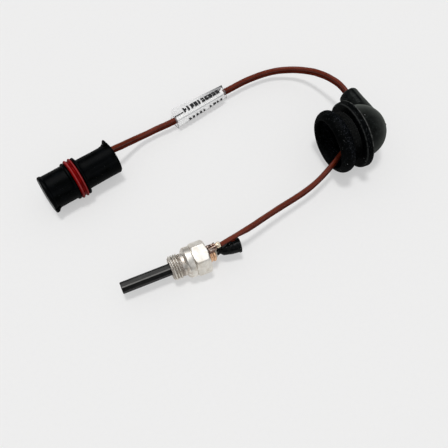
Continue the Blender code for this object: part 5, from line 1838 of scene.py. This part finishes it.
def floor_look():
    """Plain grey card that glows a little to the camera and in reflections."""
    look = Look("floor_card")
    fleck = look.noise(size=1.5, detail=2.0, rough=0.5, seed=90)
    light, dark = (FLOOR_TONE + 0.003,) * 3, (FLOOR_TONE - 0.003,) * 3
    look.base = look.mix(look.ramp(fleck, span=(0.3, 0.7)), light, dark)
    path = look.node("ShaderNodeLightPath").outputs
    seen = look.calc("ADD", path["Is Camera Ray"], path["Is Glossy Ray"], clamp=True)
    look.glow(look.times(seen, FLOOR_GLOW))
    return look.surface(rough=0.9, spec=0.0)


def build_floor():
    solid = bmesh.new()
    bmesh.ops.create_grid(solid, x_segments=8, y_segments=8, size=4.0)
    mesh = bpy.data.meshes.new("floor")
    solid.to_mesh(mesh)
    solid.free()
    floor = bpy.data.objects.new("floor", mesh)
    floor.location.z = -0.00002
    bpy.context.scene.collection.objects.link(floor)
    mesh.materials.append(floor_look())


def build_world():
    """Even white light on matt surfaces; shiny ones see a large soft lamp, a fill and dark sides."""
    world = bpy.data.worlds.new("studio")
    bpy.context.scene.world = world
    world.use_nodes = True
    graph = Graph(world.node_tree)
    coord = graph.node("ShaderNodeTexCoord").outputs["Generated"]

    def lamp(direction, inner_deg, outer_deg, strength):
        """Round glow, full inside the inner angle and gone outside the outer one."""
        dot = graph.node("ShaderNodeVectorMath", operation="DOT_PRODUCT")
        graph.link(coord, dot.inputs[0])
        dot.inputs[1].default_value = Vector(direction).normalized()
        span = (math.cos(math.radians(outer_deg)), math.cos(math.radians(inner_deg)))
        return graph.ramp(dot.outputs["Value"], span, to=(0.0, strength))

    def background(colour, strength=1.0):
        node = graph.node("ShaderNodeBackground")
        graph.feed(colour, node.inputs[0])
        graph.feed(strength, node.inputs[1])
        return node.outputs[0]

    def choose(share, first, second):
        node = graph.node("ShaderNodeMixShader")
        for output, socket in zip((share, first, second), node.inputs):
            graph.link(output, socket)
        return node.outputs[0]

    glow = graph.calc(
        "ADD",
        lamp(LAMP, inner_deg=14, outer_deg=34, strength=3.35),
        lamp(FILL, inner_deg=10, outer_deg=30, strength=1.2),
    )
    glow = graph.calc("ADD", glow, lamp(UP, inner_deg=20, outer_deg=85, strength=0.35))
    glow = graph.calc("ADD", glow, 0.12)
    shine = background((0.97, 0.98, 1.0), glow)
    even = background((1.0, 1.0, 1.0), strength=0.5)
    seen = background((0.855, 0.855, 0.855))
    path = graph.node("ShaderNodeLightPath").outputs
    lighting = choose(path["Is Glossy Ray"], even, shine)
    surface = choose(path["Is Camera Ray"], lighting, seen)
    out = graph.node("ShaderNodeOutputWorld")
    graph.link(surface, out.inputs["Surface"])


def build_sun():
    data = bpy.data.lights.new("soft_key", "SUN")
    data.energy = 1.575
    data.angle = math.radians(11)
    data.color = (1.0, 0.995, 0.985)
    sun = bpy.data.objects.new("soft_key", data)
    sun.rotation_euler = (-KEY).to_track_quat("-Z", "Y").to_euler()
    sun.visible_glossy = False
    bpy.context.scene.collection.objects.link(sun)


def build_camera():
    data = bpy.data.cameras.new("camera")
    data.sensor_fit = "HORIZONTAL"
    data.sensor_width = 36.0
    data.lens = 52.232143
    data.clip_start, data.clip_end = 0.01, 20.0
    camera = bpy.data.objects.new("camera", data)
    camera.location = CAMERA_AT * MM
    view = CAMERA_AIM * MM - camera.location
    camera.rotation_euler = view.to_track_quat("-Z", "Y").to_euler()
    bpy.context.scene.collection.objects.link(camera)
    bpy.context.scene.camera = camera


build_floor()
build_world()
build_sun()
build_camera()
bpy.context.scene.view_settings.view_transform = "Standard"
bpy.context.scene.view_settings.look = "None"

bpy.context.view_layer.update()
